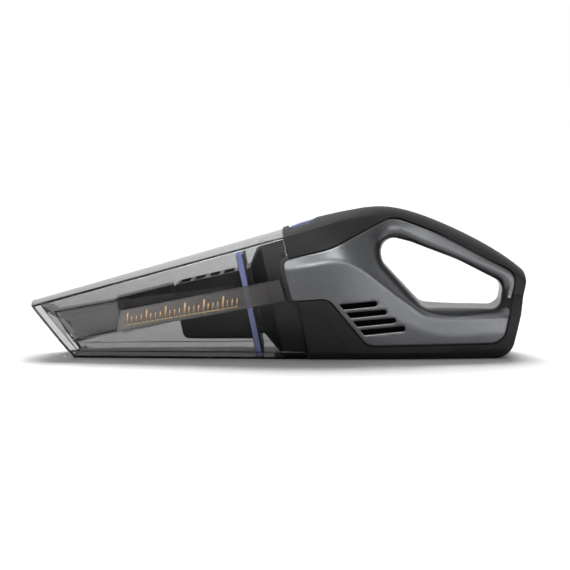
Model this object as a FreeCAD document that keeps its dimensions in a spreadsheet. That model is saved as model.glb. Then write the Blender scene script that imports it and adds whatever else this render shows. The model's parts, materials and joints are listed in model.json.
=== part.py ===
"""Cordless handheld wet-and-dry vacuum cleaner, built as an assembly of separate pieces.

Frame: millimetres, +Z up.  The nozzle points along -X and the handle lies towards +X.  The origin is
on the resting plane, under the middle of the overall length, in the left-right symmetry plane.

The casing is a row of cross-sections (stations) joined by a smooth loft and trimmed by the side and
plan outlines.  The dust cup is one straight loft.  Cup and casing meet on the seam, a plane that
leans forward by seam_tilt; the filter, its seal and the filter seat are all square to that plane.
"""
import FreeCAD
import Part
import Sketcher

import math
import os

from FreeCAD import Placement, Rotation, Vector

os.makedirs("parts", exist_ok=True)
doc = FreeCAD.newDocument("HandheldVacuum")

X_AXIS = Vector(1, 0, 0)
Y_AXIS = Vector(0, 1, 0)
Z_AXIS = Vector(0, 0, 1)
BIG = 400.0

# ---------------------------------------------------------------------------------------------
# Driving dimensions
# ---------------------------------------------------------------------------------------------
DIMENSIONS = {
    # seam between dust cup and casing
    "seam_foot": 25.3,
    "seam_tilt": 11.65,
    # dust cup: values at the nozzle end and at the casing end of its straight loft
    "cup_start": -206.0,
    "cup_end": 26.0,
    "cup_wall": 2.2,
    "nozzle_floor_half": 29.0,
    "nozzle_skirt_half": 33.5,
    "nozzle_flank_half": 35.5,
    "nozzle_flank_z": 8.5,
    "nozzle_crease_half": 35.0,
    "nozzle_crease_z": 33.6,
    "nozzle_brow_half": 32.5,
    "nozzle_brow_z": 41.5,
    "nozzle_crown": 2.6,
    "collar_floor_half": 45.0,
    "collar_skirt_half": 50.3,
    "collar_flank_half": 55.2,
    "collar_flank_z": 47.5,
    "collar_crease_half": 54.0,
    "collar_crease_z": 78.2,
    "collar_brow_half": 48.0,
    "collar_brow_z": 105.4,
    "collar_crown": 5.0,
    "skirt_z": 5.5,
    # mouth of the nozzle
    "mouth_lip": -204.0,
    "mouth_lip_z": 45.0,
    "mouth_tilt": 39.5,
    "mouth_recess": 6.0,
    # clear intake duct behind the mouth
    "duct_wall": 1.6,
    "duct_end": -112.0,
    "duct_floor_z": 20.6,
    "duct_roof_z": 48.0,
    "duct_floor_slope": 0.225,
    "duct_roof_slope": 0.25,
    "duct_ref": -130.0,
    "duct_half_front": 30.0,
    "duct_half_ref": 23.4,
    # dark deflector sleeve on the end of the duct
    "sleeve_wall": 1.8,
    "sleeve_reach": 99.0,
    "sleeve_floor_end": -105.0,
    # flap valve
    "flap_thick": 1.6,
    "flap_pin_x": -109.4,
    "flap_pin_r": 0.9,
    # filter cartridge, measured forward from the seam and square to it
    "filter_front": 97.0,
    "seal_front": 41.6,
    "seal_back": 36.5,
    "seal_depth": 3.0,
    "flange_back": 35.4,
    "media_half": 33.0,
    "media_floor_z": 16.0,
    "media_roof_front_z": 59.5,
    "media_roof_back_z": 72.5,
    # filter seat
    "spigot_depth": 20.0,
    "seat_neck": 31.8,
    "seat_front": 35.1,
    "seat_step": 17.0,
    "seat_wall": 2.4,
    "seat_tail": 8.0,
    # casing
    "skin": 2.4,
    "panel_thick": 2.2,
    "side_half_limit": 56.0,
    "tail_foot": 189.3,
    "tail_heel_radius": 17.0,
    "tail_top_x": 206.4,
    "tail_top_z": 69.8,
    "tail_top_radius": 17.0,
    "tail_plan_half": 24.0,
    "tail_plan_radius": 18.0,
    "reveal": 0.45,
    # motor and fan, on one horizontal axis
    "motor_z": 47.0,
    "fan_start": 34.2,
    "fan_radius": 33.0,
    "fan_thick": 10.0,
    "fan_housing_radius": 38.0,
    "can_start": 48.2,
    "can_length": 38.0,
    "can_radius": 18.2,
    "can_wall": 1.4,
    "magnet_thick": 2.6,
    "shaft_radius": 1.6,
    "bearing_radius": 5.0,
    "rotor_radius": 13.0,
    "rubber_thick": 2.2,
    # battery
    "cell_radius": 9.25,
    "cell_length": 65.0,
    "cell_pitch": 18.7,
    "cell_z": 16.4,
    "cells_start": 50.6,
    "cells_gap": 1.3,
    # charging board and inlet
    "board_start": 127.0,
    "board_length": 45.0,
    "board_half": 21.0,
    "board_z": 27.6,
    "board_thick": 1.6,
    "inlet_z": 32.0,
    "inlet_bore_r": 2.8,
    "inlet_pin_r": 1.05,
    # vents
    "vent_height": 4.1,
    # release button and power button
    "release_pivot_x": 33.5,
    "release_pivot_z": 101.0,
    "power_x": 60.0,
    "power_length": 21.0,
    "power_half": 6.5,
    "switch_z": 98.0,
    "switch_board_front": 14.0,
    "switch_board_length": 34.0,
    "switch_board_half": 8.0,
    # screws
    "screw_shank_r": 1.4,
    "screw_head_r": 2.6,
    "screw_length": 14.0,
    "boss_radius": 3.6,
}

sheet = doc.addObject("Spreadsheet::Sheet", "Sheet")
for row, (alias, number) in enumerate(DIMENSIONS.items(), start=1):
    sheet.set(f"A{row}", alias.replace("_", " "))
    sheet.set(f"B{row}", str(number))
    sheet.setAlias(f"B{row}", alias)
doc.recompute()


def dim(alias):
    """A driving dimension as a plain number."""
    return float(getattr(sheet, alias))


# ---------------------------------------------------------------------------------------------
# Helpers
# ---------------------------------------------------------------------------------------------
NODES = []


def keep(label, shape_or_object):
    """Registers one sub-part: its Label names its file."""
    if isinstance(shape_or_object, Part.Shape):
        feature = doc.addObject("Part::Feature", label)
        feature.Shape = shape_or_object
        feature.Placement = Placement()
    else:
        feature = shape_or_object
    feature.Label = label
    NODES.append(feature)
    return feature


def tidy(shape):
    """The shape without splitter edges, as one solid where it has only one."""
    clean = shape.removeSplitter()
    return clean if clean.isValid() else shape


def box(x, y, z):
    """Box between the given (low, high) pairs."""
    return Part.makeBox(x[1] - x[0], y[1] - y[0], z[1] - z[0], Vector(x[0], y[0], z[0]))


def rod(radius, start, end, y=0.0, z=0.0, axis=X_AXIS):
    """Cylinder along X from start to end, or along another axis from a start point."""
    if axis is X_AXIS:
        return Part.makeCylinder(radius, end - start, Vector(start, y, z), X_AXIS)
    return Part.makeCylinder(radius, (end - start).Length, start, end - start)


def tube(outer, inner, start, end, z):
    """Hollow cylinder along X, centred on y = 0."""
    return rod(outer, start, end, z=z).cut(rod(inner, start - 1, end + 1, z=z))


def grown_corners(corners, amount):
    """Rounded-corner outline moved outwards by amount: every run shifts, every radius follows."""
    count = len(corners)
    area = sum(corners[i - 1][0] * corners[i][1] - corners[i][0] * corners[i - 1][1]
               for i in range(count))
    side = 1 if area > 0 else -1
    runs = []
    for i in range(count):
        (xa, ya, _), (xb, yb, _) = corners[i], corners[(i + 1) % count]
        length = math.hypot(xb - xa, yb - ya)
        dx, dy = (xb - xa) / length, (yb - ya) / length
        runs.append((xa + side * dy * amount, ya - side * dx * amount, dx, dy))
    moved = []
    for i, (_, _, radius) in enumerate(corners):
        xa, ya, dxa, dya = runs[i - 1]
        xb, yb, dxb, dyb = runs[i]
        turn = dxa * dyb - dya * dxb
        along = ((xb - xa) * dyb - (yb - ya) * dxb) / turn
        fillet = radius + amount * (1 if turn * side > 0 else -1) if radius > 0 else 0
        moved.append((xa + dxa * along, ya + dya * along, max(fillet, 0)))
    return moved


def rounded_wire(corners, grow=0.0, plane="XZ"):
    """Closed wire of straight runs joined by tangent arcs; a corner is (a, b, radius)."""
    if grow:
        corners = grown_corners(corners, grow)
    count = len(corners)
    points = [Vector(a, 0, b) if plane == "XZ" else Vector(a, b, 0) for a, b, _ in corners]
    starts, ends, arcs = [], [], []
    for i, here in enumerate(points):
        radius = corners[i][2]
        back = (points[i - 1] - here).normalize()
        ahead = (points[(i + 1) % count] - here).normalize()
        if radius <= 0:
            starts.append(here)
            ends.append(here)
            arcs.append(None)
            continue
        half_angle = back.getAngle(ahead) / 2
        reach = radius / math.tan(half_angle)
        middle = (back + ahead).normalize() * (radius / math.sin(half_angle) - radius)
        starts.append(here + back * reach)
        ends.append(here + ahead * reach)
        arcs.append(Part.Arc(starts[i], here + middle, ends[i]).toShape())
    edges = []
    for i in range(count):
        if arcs[i] is not None:
            edges.append(arcs[i])
        following = starts[(i + 1) % count]
        if (following - ends[i]).Length > 1e-6:
            edges.append(Part.LineSegment(ends[i], following).toShape())
    return Part.Wire(Part.__sortEdges__(edges))


def prism(wire, low, high, axis=Y_AXIS):
    """Solid between two offsets of a flat closed wire along an axis."""
    moved = wire.copy()
    moved.translate(axis * low)
    return Part.Face(moved).extrude(axis * (high - low))


# Seam frame: local -X runs forward, out of the seam and square to it.
SEAM = Placement(Vector(dim("seam_foot"), 0, 0), Rotation(Y_AXIS, -dim("seam_tilt")))
FORWARD = SEAM.Rotation.multVec(Vector(-1, 0, 0))


def slab(back, front):
    """Everything between two planes square to the seam normal, given as forward distances."""
    shape = box((-front, -back), (-BIG, BIG), (-BIG, BIG))
    shape.Placement = SEAM
    return shape


def mouth_side(recess):
    """Everything in front of the mouth plane moved into the nozzle by recess."""
    shape = box((-BIG, 0), (-BIG, BIG), (-BIG, BIG))
    lip = Vector(dim("mouth_lip"), 0, dim("mouth_lip_z"))
    turn = Rotation(Y_AXIS, -dim("mouth_tilt"))
    shape.Placement = Placement(lip, turn)
    inwards = turn.multVec(X_AXIS)
    shape.translate(inwards * recess)
    return shape


# ---------------------------------------------------------------------------------------------
# Dust cup sections
# ---------------------------------------------------------------------------------------------
def cup_rails(inset):
    """Longitudinal edges of the cup as pairs of points (nozzle end, casing end) for y > 0."""
    skirt = dim("skirt_z")
    rails = []
    for name, z_nozzle, z_collar in (
        ("floor", inset, inset),
        ("skirt", skirt + 0.4 * inset, skirt + 0.4 * inset),
        ("flank", dim("nozzle_flank_z") + 0.3 * inset, dim("collar_flank_z")),
        ("crease", dim("nozzle_crease_z"), dim("collar_crease_z")),
        ("brow", dim("nozzle_brow_z") - 0.8 * inset, dim("collar_brow_z") - 0.8 * inset),
    ):
        side = 0.6 * inset if name == "floor" else inset
        near = Vector(dim("cup_start"), dim(f"nozzle_{name}_half") - side, z_nozzle)
        far = Vector(dim("cup_end"), dim(f"collar_{name}_half") - side, z_collar)
        rails.append((near, far))
    near = Vector(dim("cup_start"), 0, dim("nozzle_brow_z") + dim("nozzle_crown") - inset)
    far = Vector(dim("cup_end"), 0, dim("collar_brow_z") + dim("collar_crown") - inset)
    rails.append((near, far))
    return rails


def ring_wire(points):
    """Closed section wire from its y > 0 points, floor first and crown last; the top is an arc."""
    mirrored = [Vector(p.x, -p.y, p.z) for p in points]
    edges = [Part.LineSegment(mirrored[0], points[0]).toShape()]
    for a, b in zip(points[:-2], points[1:-1]):
        edges.append(Part.LineSegment(a, b).toShape())
    edges.append(Part.Arc(points[-2], points[-1], mirrored[-2]).toShape())
    for a, b in zip(mirrored[-2:0:-1], mirrored[-3::-1]):
        edges.append(Part.LineSegment(a, b).toShape())
    return Part.Wire(edges)


def cup_solid(inset):
    """The straight loft of the cup, moved in by inset, running past both its ends."""
    rails = cup_rails(inset)
    front = ring_wire([near for near, far in rails])
    back = ring_wire([far for near, far in rails])
    return Part.makeLoft([front, back], True, True)


def seam_wire(forward, inset, squeeze=0.0):
    """Section of the cup's inside, square to the seam, at a forward distance."""
    plane_point = SEAM.Base + FORWARD * forward
    points = []
    for near, far in cup_rails(inset):
        run = far - near
        share = (plane_point - near).dot(FORWARD) / run.dot(FORWARD)
        points.append(near + run * share)
    if squeeze:
        middle = (points[0].z + points[-1].z) / 2
        half = (points[-1].z - points[0].z) / 2
        low = SEAM.inverse().multVec(points[0])
        high = SEAM.inverse().multVec(points[-1])
        centre = (low.z + high.z) / 2
        factor = 1 - squeeze / half
        squeezed = []
        for point in points:
            local = SEAM.inverse().multVec(point)
            local = Vector(local.x, local.y * factor, centre + (local.z - centre) * factor)
            squeezed.append(SEAM.multVec(local))
        points = squeezed
    return ring_wire(points)


def seam_loft(stages):
    """Ruled solid through (forward, inset, squeeze) sections square to the seam."""
    return Part.makeLoft([seam_wire(*stage) for stage in stages], True, True)


CUP_WALL = dim("cup_wall")
CLEAR = 0.3
CUP_OUTER = cup_solid(0)
CUP_INNER = cup_solid(CUP_WALL)
BEHIND_SEAM = slab(-BIG, 0)

# ---------------------------------------------------------------------------------------------
# Casing sections
# ---------------------------------------------------------------------------------------------
# Each station: x, then half-widths and heights of the section's corners from the floor up.
# floor (half), skirt (half), flank (half, z), crease (half, z), throat (half, z), brow (half, z),
# crown (z).
STATIONS = (
    (-2, 44.0, 49.4, (54.4, 42.0), (53.2, 72.5), (50.6, 86.0), (46.6, 97.8), 102.8),
    (26, 45.0, 50.4, (55.2, 46.0), (53.8, 77.0), (49.2, 91.0), (41.0, 105.2), 112.3),
    (56, 45.4, 50.8, (54.4, 46.0), (52.4, 79.5), (42.5, 97.5), (30.0, 112.5), 119.4),
    (84, 44.6, 50.0, (52.0, 38.0), (50.2, 62.0), (27.0, 93.0), (20.5, 114.5), 122.9),
    (126, 42.0, 47.0, (48.0, 21.0), (46.8, 36.5), (21.5, 52.0), (19.0, 104.2), 113.1),
    (176, 36.5, 41.0, (42.0, 21.0), (40.5, 35.5), (20.0, 48.0), (17.6, 80.0), 88.9),
    (212, 31.0, 35.0, (35.5, 19.0), (33.5, 30.0), (19.0, 41.0), (16.4, 52.5), 60.8),
)


# The sections run this far below the base, which the side outline then trims flat.
BASE_TRIM = 1.0


def casing_section(station, inset):
    """Section wire of the casing at one station, moved in by inset."""
    x, floor, skirt, flank, crease, throat, brow, crown = station
    points = [
        Vector(x, floor - 0.6 * inset, inset - BASE_TRIM),
        Vector(x, skirt - inset, dim("skirt_z") + 0.4 * inset),
        Vector(x, flank[0] - inset, flank[1]),
        Vector(x, crease[0] - inset, crease[1] - 0.4 * inset),
        Vector(x, throat[0] - inset, throat[1] - 0.4 * inset),
        Vector(x, brow[0] - inset, brow[1] - 0.4 * inset),
        Vector(x, 0, crown - inset),
    ]
    return ring_wire(points)


SIDE_CORNERS = [
    (-20, 0, 0),
    (dim("tail_foot"), 0, dim("tail_heel_radius")),
    (dim("tail_top_x"), dim("tail_top_z"), dim("tail_top_radius")),
    (172.0, 93.6, 0),
    (120.0, 140.0, 0),
    (-20, 140.0, 0),
]
PLAN_CORNERS = [
    (-20, -dim("side_half_limit"), 0),
    (186.0, -dim("side_half_limit"), 0),
    (206.5, -dim("tail_plan_half"), dim("tail_plan_radius")),
    (206.5, dim("tail_plan_half"), dim("tail_plan_radius")),
    (186.0, dim("side_half_limit"), 0),
    (-20, dim("side_half_limit"), 0),
]
# Grey side panel; its front is a tongue that laps over the dust cup.
PANEL_CORNERS = [
    (1.4, 81.0, 6.0),
    (42.0, 90.6, 70.0),
    (94.3, 116.2, 20.0),
    (130.0, 103.1, 150.0),
    (197.2, 68.2, 12.0),
    (184.0, 11.7, 15.0),
    (71.6, 10.0, 14.0),
    (40.0, 48.8, 10.0),
    (10.2, 46.8, 4.5),
]
# Edge of the handle opening.
GRIP_CORNERS = [
    (83.6, 100.4, 11.0),
    (109.0, 94.0, 60.0),
    (147.0, 79.6, 110.0),
    (185.0, 60.2, 9.5),
    (181.6, 39.9, 9.0),
    (119.4, 41.4, 12.0),
    (84.4, 79.0, 16.0),
]


def casing_solid(inset):
    """The casing's outer form moved in by inset, still running past the seam at the front."""
    loft = Part.makeLoft([casing_section(s, inset) for s in STATIONS], True, False)
    side = prism(rounded_wire(SIDE_CORNERS, -inset), -BIG, BIG)
    return loft.common(side)


# Recessed facet on the casing's lower front cheek.
CHEEK_CORNERS = [
    (17.6, 40.6, 2.0),
    (33.2, 41.0, 5.0),
    (58.6, 5.6, 2.0),
    (24.9, 5.6, 2.0),
]
NEAR_HALF = box((-BIG, BIG), (-BIG, 0), (-BIG, BIG))


def casing_half(inset):
    """Near half (y < 0) of the casing form moved in by inset, with the tail's corners rounded."""
    plan = prism(rounded_wire(PLAN_CORNERS, -inset, "XY"), -10, 200, Z_AXIS)
    return casing_solid(inset).common(plan).common(NEAR_HALF)


def mirrored(shape):
    """Copy of a shape on the other side of the symmetry plane."""
    return shape.mirror(Vector(), Y_AXIS)


def fused(shapes):
    """All the shapes joined into one."""
    return shapes[0].fuse(shapes[1:])


# ---------------------------------------------------------------------------------------------
# Casing: two black half shells and two grey side panels
# ---------------------------------------------------------------------------------------------
PANEL_THICK = dim("panel_thick")
SKIN = PANEL_THICK + dim("skin")
MOTOR_Z = dim("motor_z")
FULL = casing_half(0)
UNDER = casing_half(PANEL_THICK)
CAVITY = casing_half(SKIN)
RIB_LIMIT = casing_half(SKIN - 1.5)
BORE_GAP = 0.05
# Outside reaches used to cut right through the casing.
LOWEST_ROOF = 94
ABOVE_ALL = 140

FAN_START = dim("fan_start")
FAN_WALL = 2.0
FAN_BACK = FAN_START + dim("fan_thick")
FAN_RADIUS = dim("fan_housing_radius")
CAN_START = dim("can_start")
CAN_END = CAN_START + dim("can_length")
CAN_RADIUS = dim("can_radius")
MOUNT_RADIUS = CAN_RADIUS + dim("rubber_thick")
RUBBER_WIDTH = 3.0
RUBBER_STARTS = (CAN_START + 2.0, CAN_END - 5.0)
# Screw positions in the side view, all under the side panels.
SCREWS = ((24.0, 78.0), (66.0, 92.0), (118.0, 99.6), (189.2, 55.0), (108.0, 32.0))
SCREW_HEAD_DEPTH = 6.0

# Release lever on top of the casing, just behind the seam.
PIVOT = (dim("release_pivot_x"), dim("release_pivot_z"))
PIVOT_RADIUS = 1.5
SPRING_FOOT = 91.0
TROUGH_CORNERS = [
    (8.2, 106.6, 0),
    (9.4, 103.8, 0.6),
    (12.0, 104.0, 3.0),
    (26.1, 109.7, 12.0),
    (33.2, 114.4, 0),
    (33.2, 135.0, 0),
    (8.2, 135.0, 0),
]
CAP_CORNERS = [
    (10.1, -11.0, 2.5),
    (29.2, -11.0, 2.5),
    (29.2, 11.0, 2.5),
    (10.1, 11.0, 2.5),
]
CAP_HOLE = prism(rounded_wire(CAP_CORNERS, 0.4, "XY"), LOWEST_ROOF, ABOVE_ALL, Z_AXIS)
# Power button, flush in the top of the casing behind the hump.
POWER_X = dim("power_x")
POWER_HALF = dim("power_half")
POWER_CORNERS = [
    (POWER_X - dim("power_length") / 2, -POWER_HALF, POWER_HALF - 0.1),
    (POWER_X + dim("power_length") / 2, -POWER_HALF, POWER_HALF - 0.1),
    (POWER_X + dim("power_length") / 2, POWER_HALF, POWER_HALF - 0.1),
    (POWER_X - dim("power_length") / 2, POWER_HALF, POWER_HALF - 0.1),
]
POWER_HOLE = prism(rounded_wire(POWER_CORNERS, 0.35, "XY"), LOWEST_ROOF, ABOVE_ALL, Z_AXIS)
LED_X = 77.0
LED_HOLE_RADIUS = 2.1
JACK_HOLE_RADIUS = 4.0
CHEEK_DEPTH = 0.9
SWITCH_Z = dim("switch_z")
BOARD_Z = dim("board_z")


def vent_slots():
    """Four slots on each side: slanted front end, round rear end, stepping back as they go down."""
    slots = []
    height = dim("vent_height")
    rise = 0.087
    for k in range(4):
        x_front = 49.3 + 5.63 * k
        x_back = 79.9 + 7.6 * k
        z_top = 45.2 - 7.0 * k
        z_end = z_top + rise * (x_back - x_front)
        wire = rounded_wire([
            (x_front, z_top, 0.3),
            (x_front + 3.5, z_top - height, 0.3),
            (x_back, z_end - height, 1.95),
            (x_back, z_end, 1.95),
        ])
        slots.append(prism(wire, -BIG, 0))
    return slots


def near_rib(x, z, clear_radius=0.0, y_inner=0.0):
    """Rib from the near wall towards the middle, cut clear of the motor or fan circle."""
    rib = box(x, (-60, -y_inner), z).common(RIB_LIMIT)
    if clear_radius:
        rib = rib.cut(rod(clear_radius + BORE_GAP, x[0] - 1, x[1] + 1, z=MOTOR_Z))
    return rib


def shell_half():
    """Near black half shell, before the screw holes."""
    panel_seat = prism(rounded_wire(PANEL_CORNERS), -BIG, 1)
    shell = FULL.cut(panel_seat).fuse(UNDER.common(panel_seat))
    cheek = prism(rounded_wire(CHEEK_CORNERS), -BIG, 0)
    shell = shell.cut(cheek.common(FULL.cut(casing_half(CHEEK_DEPTH))))
    shell = shell.cut(CAVITY)
    ribs = [
        near_rib((FAN_START + 3, FAN_START + 7), (49, 58), FAN_RADIUS),
        near_rib((RUBBER_STARTS[0], RUBBER_STARTS[0] + RUBBER_WIDTH), (49, 58), MOUNT_RADIUS),
        near_rib((RUBBER_STARTS[1], RUBBER_STARTS[1] + RUBBER_WIDTH), (49, 58), MOUNT_RADIUS),
        near_rib((130, 134), (25.9, BOARD_Z - 0.1), y_inner=17),
        near_rib((164, 168), (25.9, BOARD_Z - 0.1), y_inner=17),
        near_rib((48, 51), (96.0, SWITCH_Z - 0.1), y_inner=5),
        near_rib((73, 76), (96.0, SWITCH_Z - 0.1), y_inner=5),
        near_rib((183, 187), (22, 26.4)),
        near_rib((16, 26), (88.6, SPRING_FOOT)),
        box((30.3, 36.9), (-12, -8), (97.4, 120)).common(RIB_LIMIT),
    ]
    for x, z in SCREWS:
        boss = rod(dim("boss_radius"), Vector(x, -60, z), Vector(x, 0, z), axis=Y_AXIS)
        ribs.append(boss.common(RIB_LIMIT))
    shell = fused([shell] + ribs)
    shell = shell.cut(slab(0, BIG))
    shell = shell.cut(prism(rounded_wire(GRIP_CORNERS, PANEL_THICK + BORE_GAP), -BIG, BIG))
    for slot in vent_slots():
        shell = shell.cut(slot)
    trough = prism(rounded_wire(TROUGH_CORNERS), -BIG, 1)
    shell = shell.cut(trough).cut(CAP_HOLE).cut(POWER_HOLE)
    led_hole = rod(LED_HOLE_RADIUS, Vector(LED_X, 0, LOWEST_ROOF), Vector(LED_X, 0, ABOVE_ALL),
                   axis=Z_AXIS)
    shell = shell.cut(led_hole)
    pin_hole = rod(PIVOT_RADIUS, Vector(PIVOT[0], -13, PIVOT[1]), Vector(PIVOT[0], 0, PIVOT[1]),
                   axis=Y_AXIS)
    shell = shell.cut(pin_hole)
    return shell.cut(rod(JACK_HOLE_RADIUS, 191, 210, z=dim("inlet_z")))


def side_panel():
    """Near grey side panel with the lining of the handle opening."""
    outline = prism(rounded_wire(PANEL_CORNERS, -dim("reveal")), -BIG, 1)
    skin = FULL.common(outline).cut(UNDER)
    lining = FULL.common(prism(rounded_wire(GRIP_CORNERS, PANEL_THICK), -BIG, 1))
    panel = skin.fuse(lining).cut(prism(rounded_wire(GRIP_CORNERS), -BIG, BIG))
    for slot in vent_slots():
        panel = panel.cut(slot)
    return panel


half = shell_half()
left_shell = half
right_shell = mirrored(half)
for x, z in SCREWS:
    pilot = rod(dim("screw_shank_r"), Vector(x, -10, z), Vector(x, 0, z), axis=Y_AXIS)
    left_shell = left_shell.cut(pilot)
    passage = rod(dim("screw_shank_r") + 0.2, Vector(x, -1, z), Vector(x, 20, z), axis=Y_AXIS)
    well = rod(dim("screw_head_r") + 0.3, Vector(x, SCREW_HEAD_DEPTH, z), Vector(x, 70, z),
               axis=Y_AXIS)
    right_shell = right_shell.cut(passage).cut(well)
keep("housing_left", left_shell)
keep("housing_right", right_shell)
panel = side_panel()
keep("side_panel_left", panel)
keep("side_panel_right", mirrored(panel))

screws = []
for x, z in SCREWS:
    tip = SCREW_HEAD_DEPTH - dim("screw_length")
    shank = rod(dim("screw_shank_r"), Vector(x, tip, z), Vector(x, SCREW_HEAD_DEPTH, z), axis=Y_AXIS)
    head = rod(dim("screw_head_r"), Vector(x, SCREW_HEAD_DEPTH, z),
               Vector(x, SCREW_HEAD_DEPTH + 2.2, z), axis=Y_AXIS)
    recess = box((x - 0.5, x + 0.5), (SCREW_HEAD_DEPTH + 1, SCREW_HEAD_DEPTH + 3), (z - 1.6, z + 1.6))
    screws.append(shank.fuse(head).cut(recess))
keep("housing_screws", Part.makeCompound(screws))

pad = box((50, 104), (-43, -40), (18, 47))
keep("exhaust_filter_left", pad)
keep("exhaust_filter_right", mirrored(pad))

# ---------------------------------------------------------------------------------------------
# Release lever and power button
# ---------------------------------------------------------------------------------------------
cap = prism(rounded_wire(CAP_CORNERS, 0, "XY"), 90, 130, Z_AXIS)
cap = cap.common(prism(rounded_wire([
    (9.0, 99.7, 0),
    (30.0, 103.7, 0),
    (30.0, 112.9, 0),
    (18.0, 109.4, 40.0),
    (9.0, 105.8, 0),
]), -20, 20))
keep("release_button", cap)
arm = prism(rounded_wire([
    (26.0, 99.4, 0),
    (26.0, 102.94, 0),
    (10.5, 99.98, 0),
    (4.0, 98.9, 0),
    (-2.8, 97.6, 0),
    (-2.8, 99.1, 0.3),
    (-4.8, 99.1, 0.3),
    (-6.4, 97.0, 0),
    (-6.4, 94.6, 0.5),
    (4.0, 95.6, 0),
    (14.0, 97.8, 0),
]), -4, 4)
heel = box((26.0, PIVOT[0]), (-7, 7), (99.4, 102.9))
barrel = rod(3.3, Vector(PIVOT[0], -7.5, PIVOT[1]), Vector(PIVOT[0], 7.5, PIVOT[1]), axis=Y_AXIS)
pin_bore = rod(PIVOT_RADIUS + 0.06, Vector(PIVOT[0], -9, PIVOT[1]), Vector(PIVOT[0], 9, PIVOT[1]),
               axis=Y_AXIS)
keep("latch_lever", tidy(fused([arm, heel, barrel]).cut(pin_bore).cut(cap)))
keep("release_pivot_pin", rod(PIVOT_RADIUS, Vector(PIVOT[0], -11.9, PIVOT[1]),
                              Vector(PIVOT[0], 11.9, PIVOT[1]), axis=Y_AXIS))
# Folded leaf spring: foot on the casing rib, free end under the lever arm.
leaf_thick = 0.5
leaf_half = 2.5
keep("release_spring", prism(rounded_wire([
    (24.0, SPRING_FOOT + 0.05, 0),
    (15.9, SPRING_FOOT + 0.05, 1.0),
    (24.0, 99.0, 0),
    (24.4, 98.6, 0),
    (17.3, SPRING_FOOT + 0.05 + leaf_thick, 0.5),
    (24.0, SPRING_FOOT + 0.05 + leaf_thick, 0),
]), -leaf_half, leaf_half))

FLANGE_Z = (110.4, 112.0)
flange = box((POWER_X - 11.0, POWER_X + 13.5), (-8, 8), FLANGE_Z)
column = prism(rounded_wire(POWER_CORNERS, 0, "XY"), FLANGE_Z[0], ABOVE_ALL, Z_AXIS)
roof = casing_half(0.15)
keep("power_button", tidy(flange.fuse(column.common(roof.fuse(mirrored(roof))))))

# ---------------------------------------------------------------------------------------------
# Filter seat: plugs into the casing and carries the cup, the filter seal and the latch channel
# ---------------------------------------------------------------------------------------------
SPIGOT = dim("spigot_depth")
NECK = dim("seat_neck")
STEP = dim("seat_step")
SEAT_WALL = dim("seat_wall")
TAIL = dim("seat_tail")
FIT = CUP_WALL + CLEAR
TAIL_INSET = 7.0
FRONT = dim("seat_front")
seat = seam_loft([(0, FIT, 0), (SPIGOT, FIT, 0), (NECK, FIT, STEP), (FRONT, FIT, STEP)])
seat = seat.fuse(seam_loft([(-TAIL, TAIL_INSET, 0), (0, TAIL_INSET, 0)]))
bore = FIT + SEAT_WALL
air_path = seam_loft([
    (SEAT_WALL, bore, 0),
    (SPIGOT, bore, 0),
    (NECK, bore, STEP),
    (FRONT + 2, bore, STEP),
])
tail_bore = TAIL_INSET + SEAT_WALL
air_path = air_path.fuse(seam_loft([(SEAT_WALL - TAIL, tail_bore, 0), (SEAT_WALL, tail_bore, 0)]))
solid_seat = seat
seat = seat.cut(air_path)
lever_block = box((-9.0, 14.2), (-14, 14), (88, 104)).common(solid_seat)
seat = seat.fuse(lever_block)
seat = seat.cut(box((-7.6, 30), (-5, 5), (90.6, 110)))
seat = seat.cut(box((7.4, 30), (-11.8, 11.8), (97.4, 110)))
seat = seat.cut(rod(15.0, 5, 45, z=MOTOR_Z))
keep("filter_seat", seat)

sleeve = tube(18.0, 15.5, 8, FAN_START - 2.2, MOTOR_Z).cut(slab(-TAIL, BIG))
keep("air_sleeve", sleeve)

# ---------------------------------------------------------------------------------------------
# Dust cup, intake duct, deflector sleeve and flap
# ---------------------------------------------------------------------------------------------
cup = CUP_OUTER.cut(CUP_INNER)
cup = cup.fuse(box((-0.9, 1.1), (-4, 4), (99.6, 104)).common(CUP_OUTER))
cup = cup.cut(BEHIND_SEAM).cut(mouth_side(0))
cup = cup.cut(prism(rounded_wire(PANEL_CORNERS, 2.0), -BIG, BIG))
keep("dust_cup", cup)


def mouth_section(recess, inset):
    """Section of the cup's inside on the mouth plane moved into the nozzle by recess."""
    tilt = math.radians(dim("mouth_tilt"))
    inwards = Vector(math.cos(tilt), 0, math.sin(tilt))
    lip = Vector(dim("mouth_lip"), 0, dim("mouth_lip_z")) + inwards * recess
    points = []
    for near, far in cup_rails(inset):
        run = far - near
        points.append(near + run * ((lip - near).dot(inwards) / run.dot(inwards)))
    return ring_wire(points)


def duct_floor(x):
    """Height of the duct's underside."""
    return dim("duct_floor_z") + dim("duct_floor_slope") * (x - dim("duct_ref"))


def duct_roof(x):
    """Height of the duct's top."""
    return dim("duct_roof_z") + dim("duct_roof_slope") * (x - dim("duct_ref"))


def duct_section(x, inset, lean=0.0):
    """Rounded-rectangle section of the duct; lean slants it by dx per unit of height."""
    floor = duct_floor(x) + inset
    roof = duct_roof(x) - inset
    share = min(1.0, max(0.0, (dim("duct_ref") - x) / 45.0))
    half = dim("duct_half_ref") + (dim("duct_half_front") - dim("duct_half_ref")) * share - inset
    profile = (
        (half - 5, floor),
        (half - 1, floor + 1.2),
        (half, floor + 5),
        (half, roof - 5),
        (half - 3, roof - 1),
        (0, roof),
    )
    return ring_wire([Vector(x - lean * (z - floor), y, z) for y, z in profile])


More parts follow.
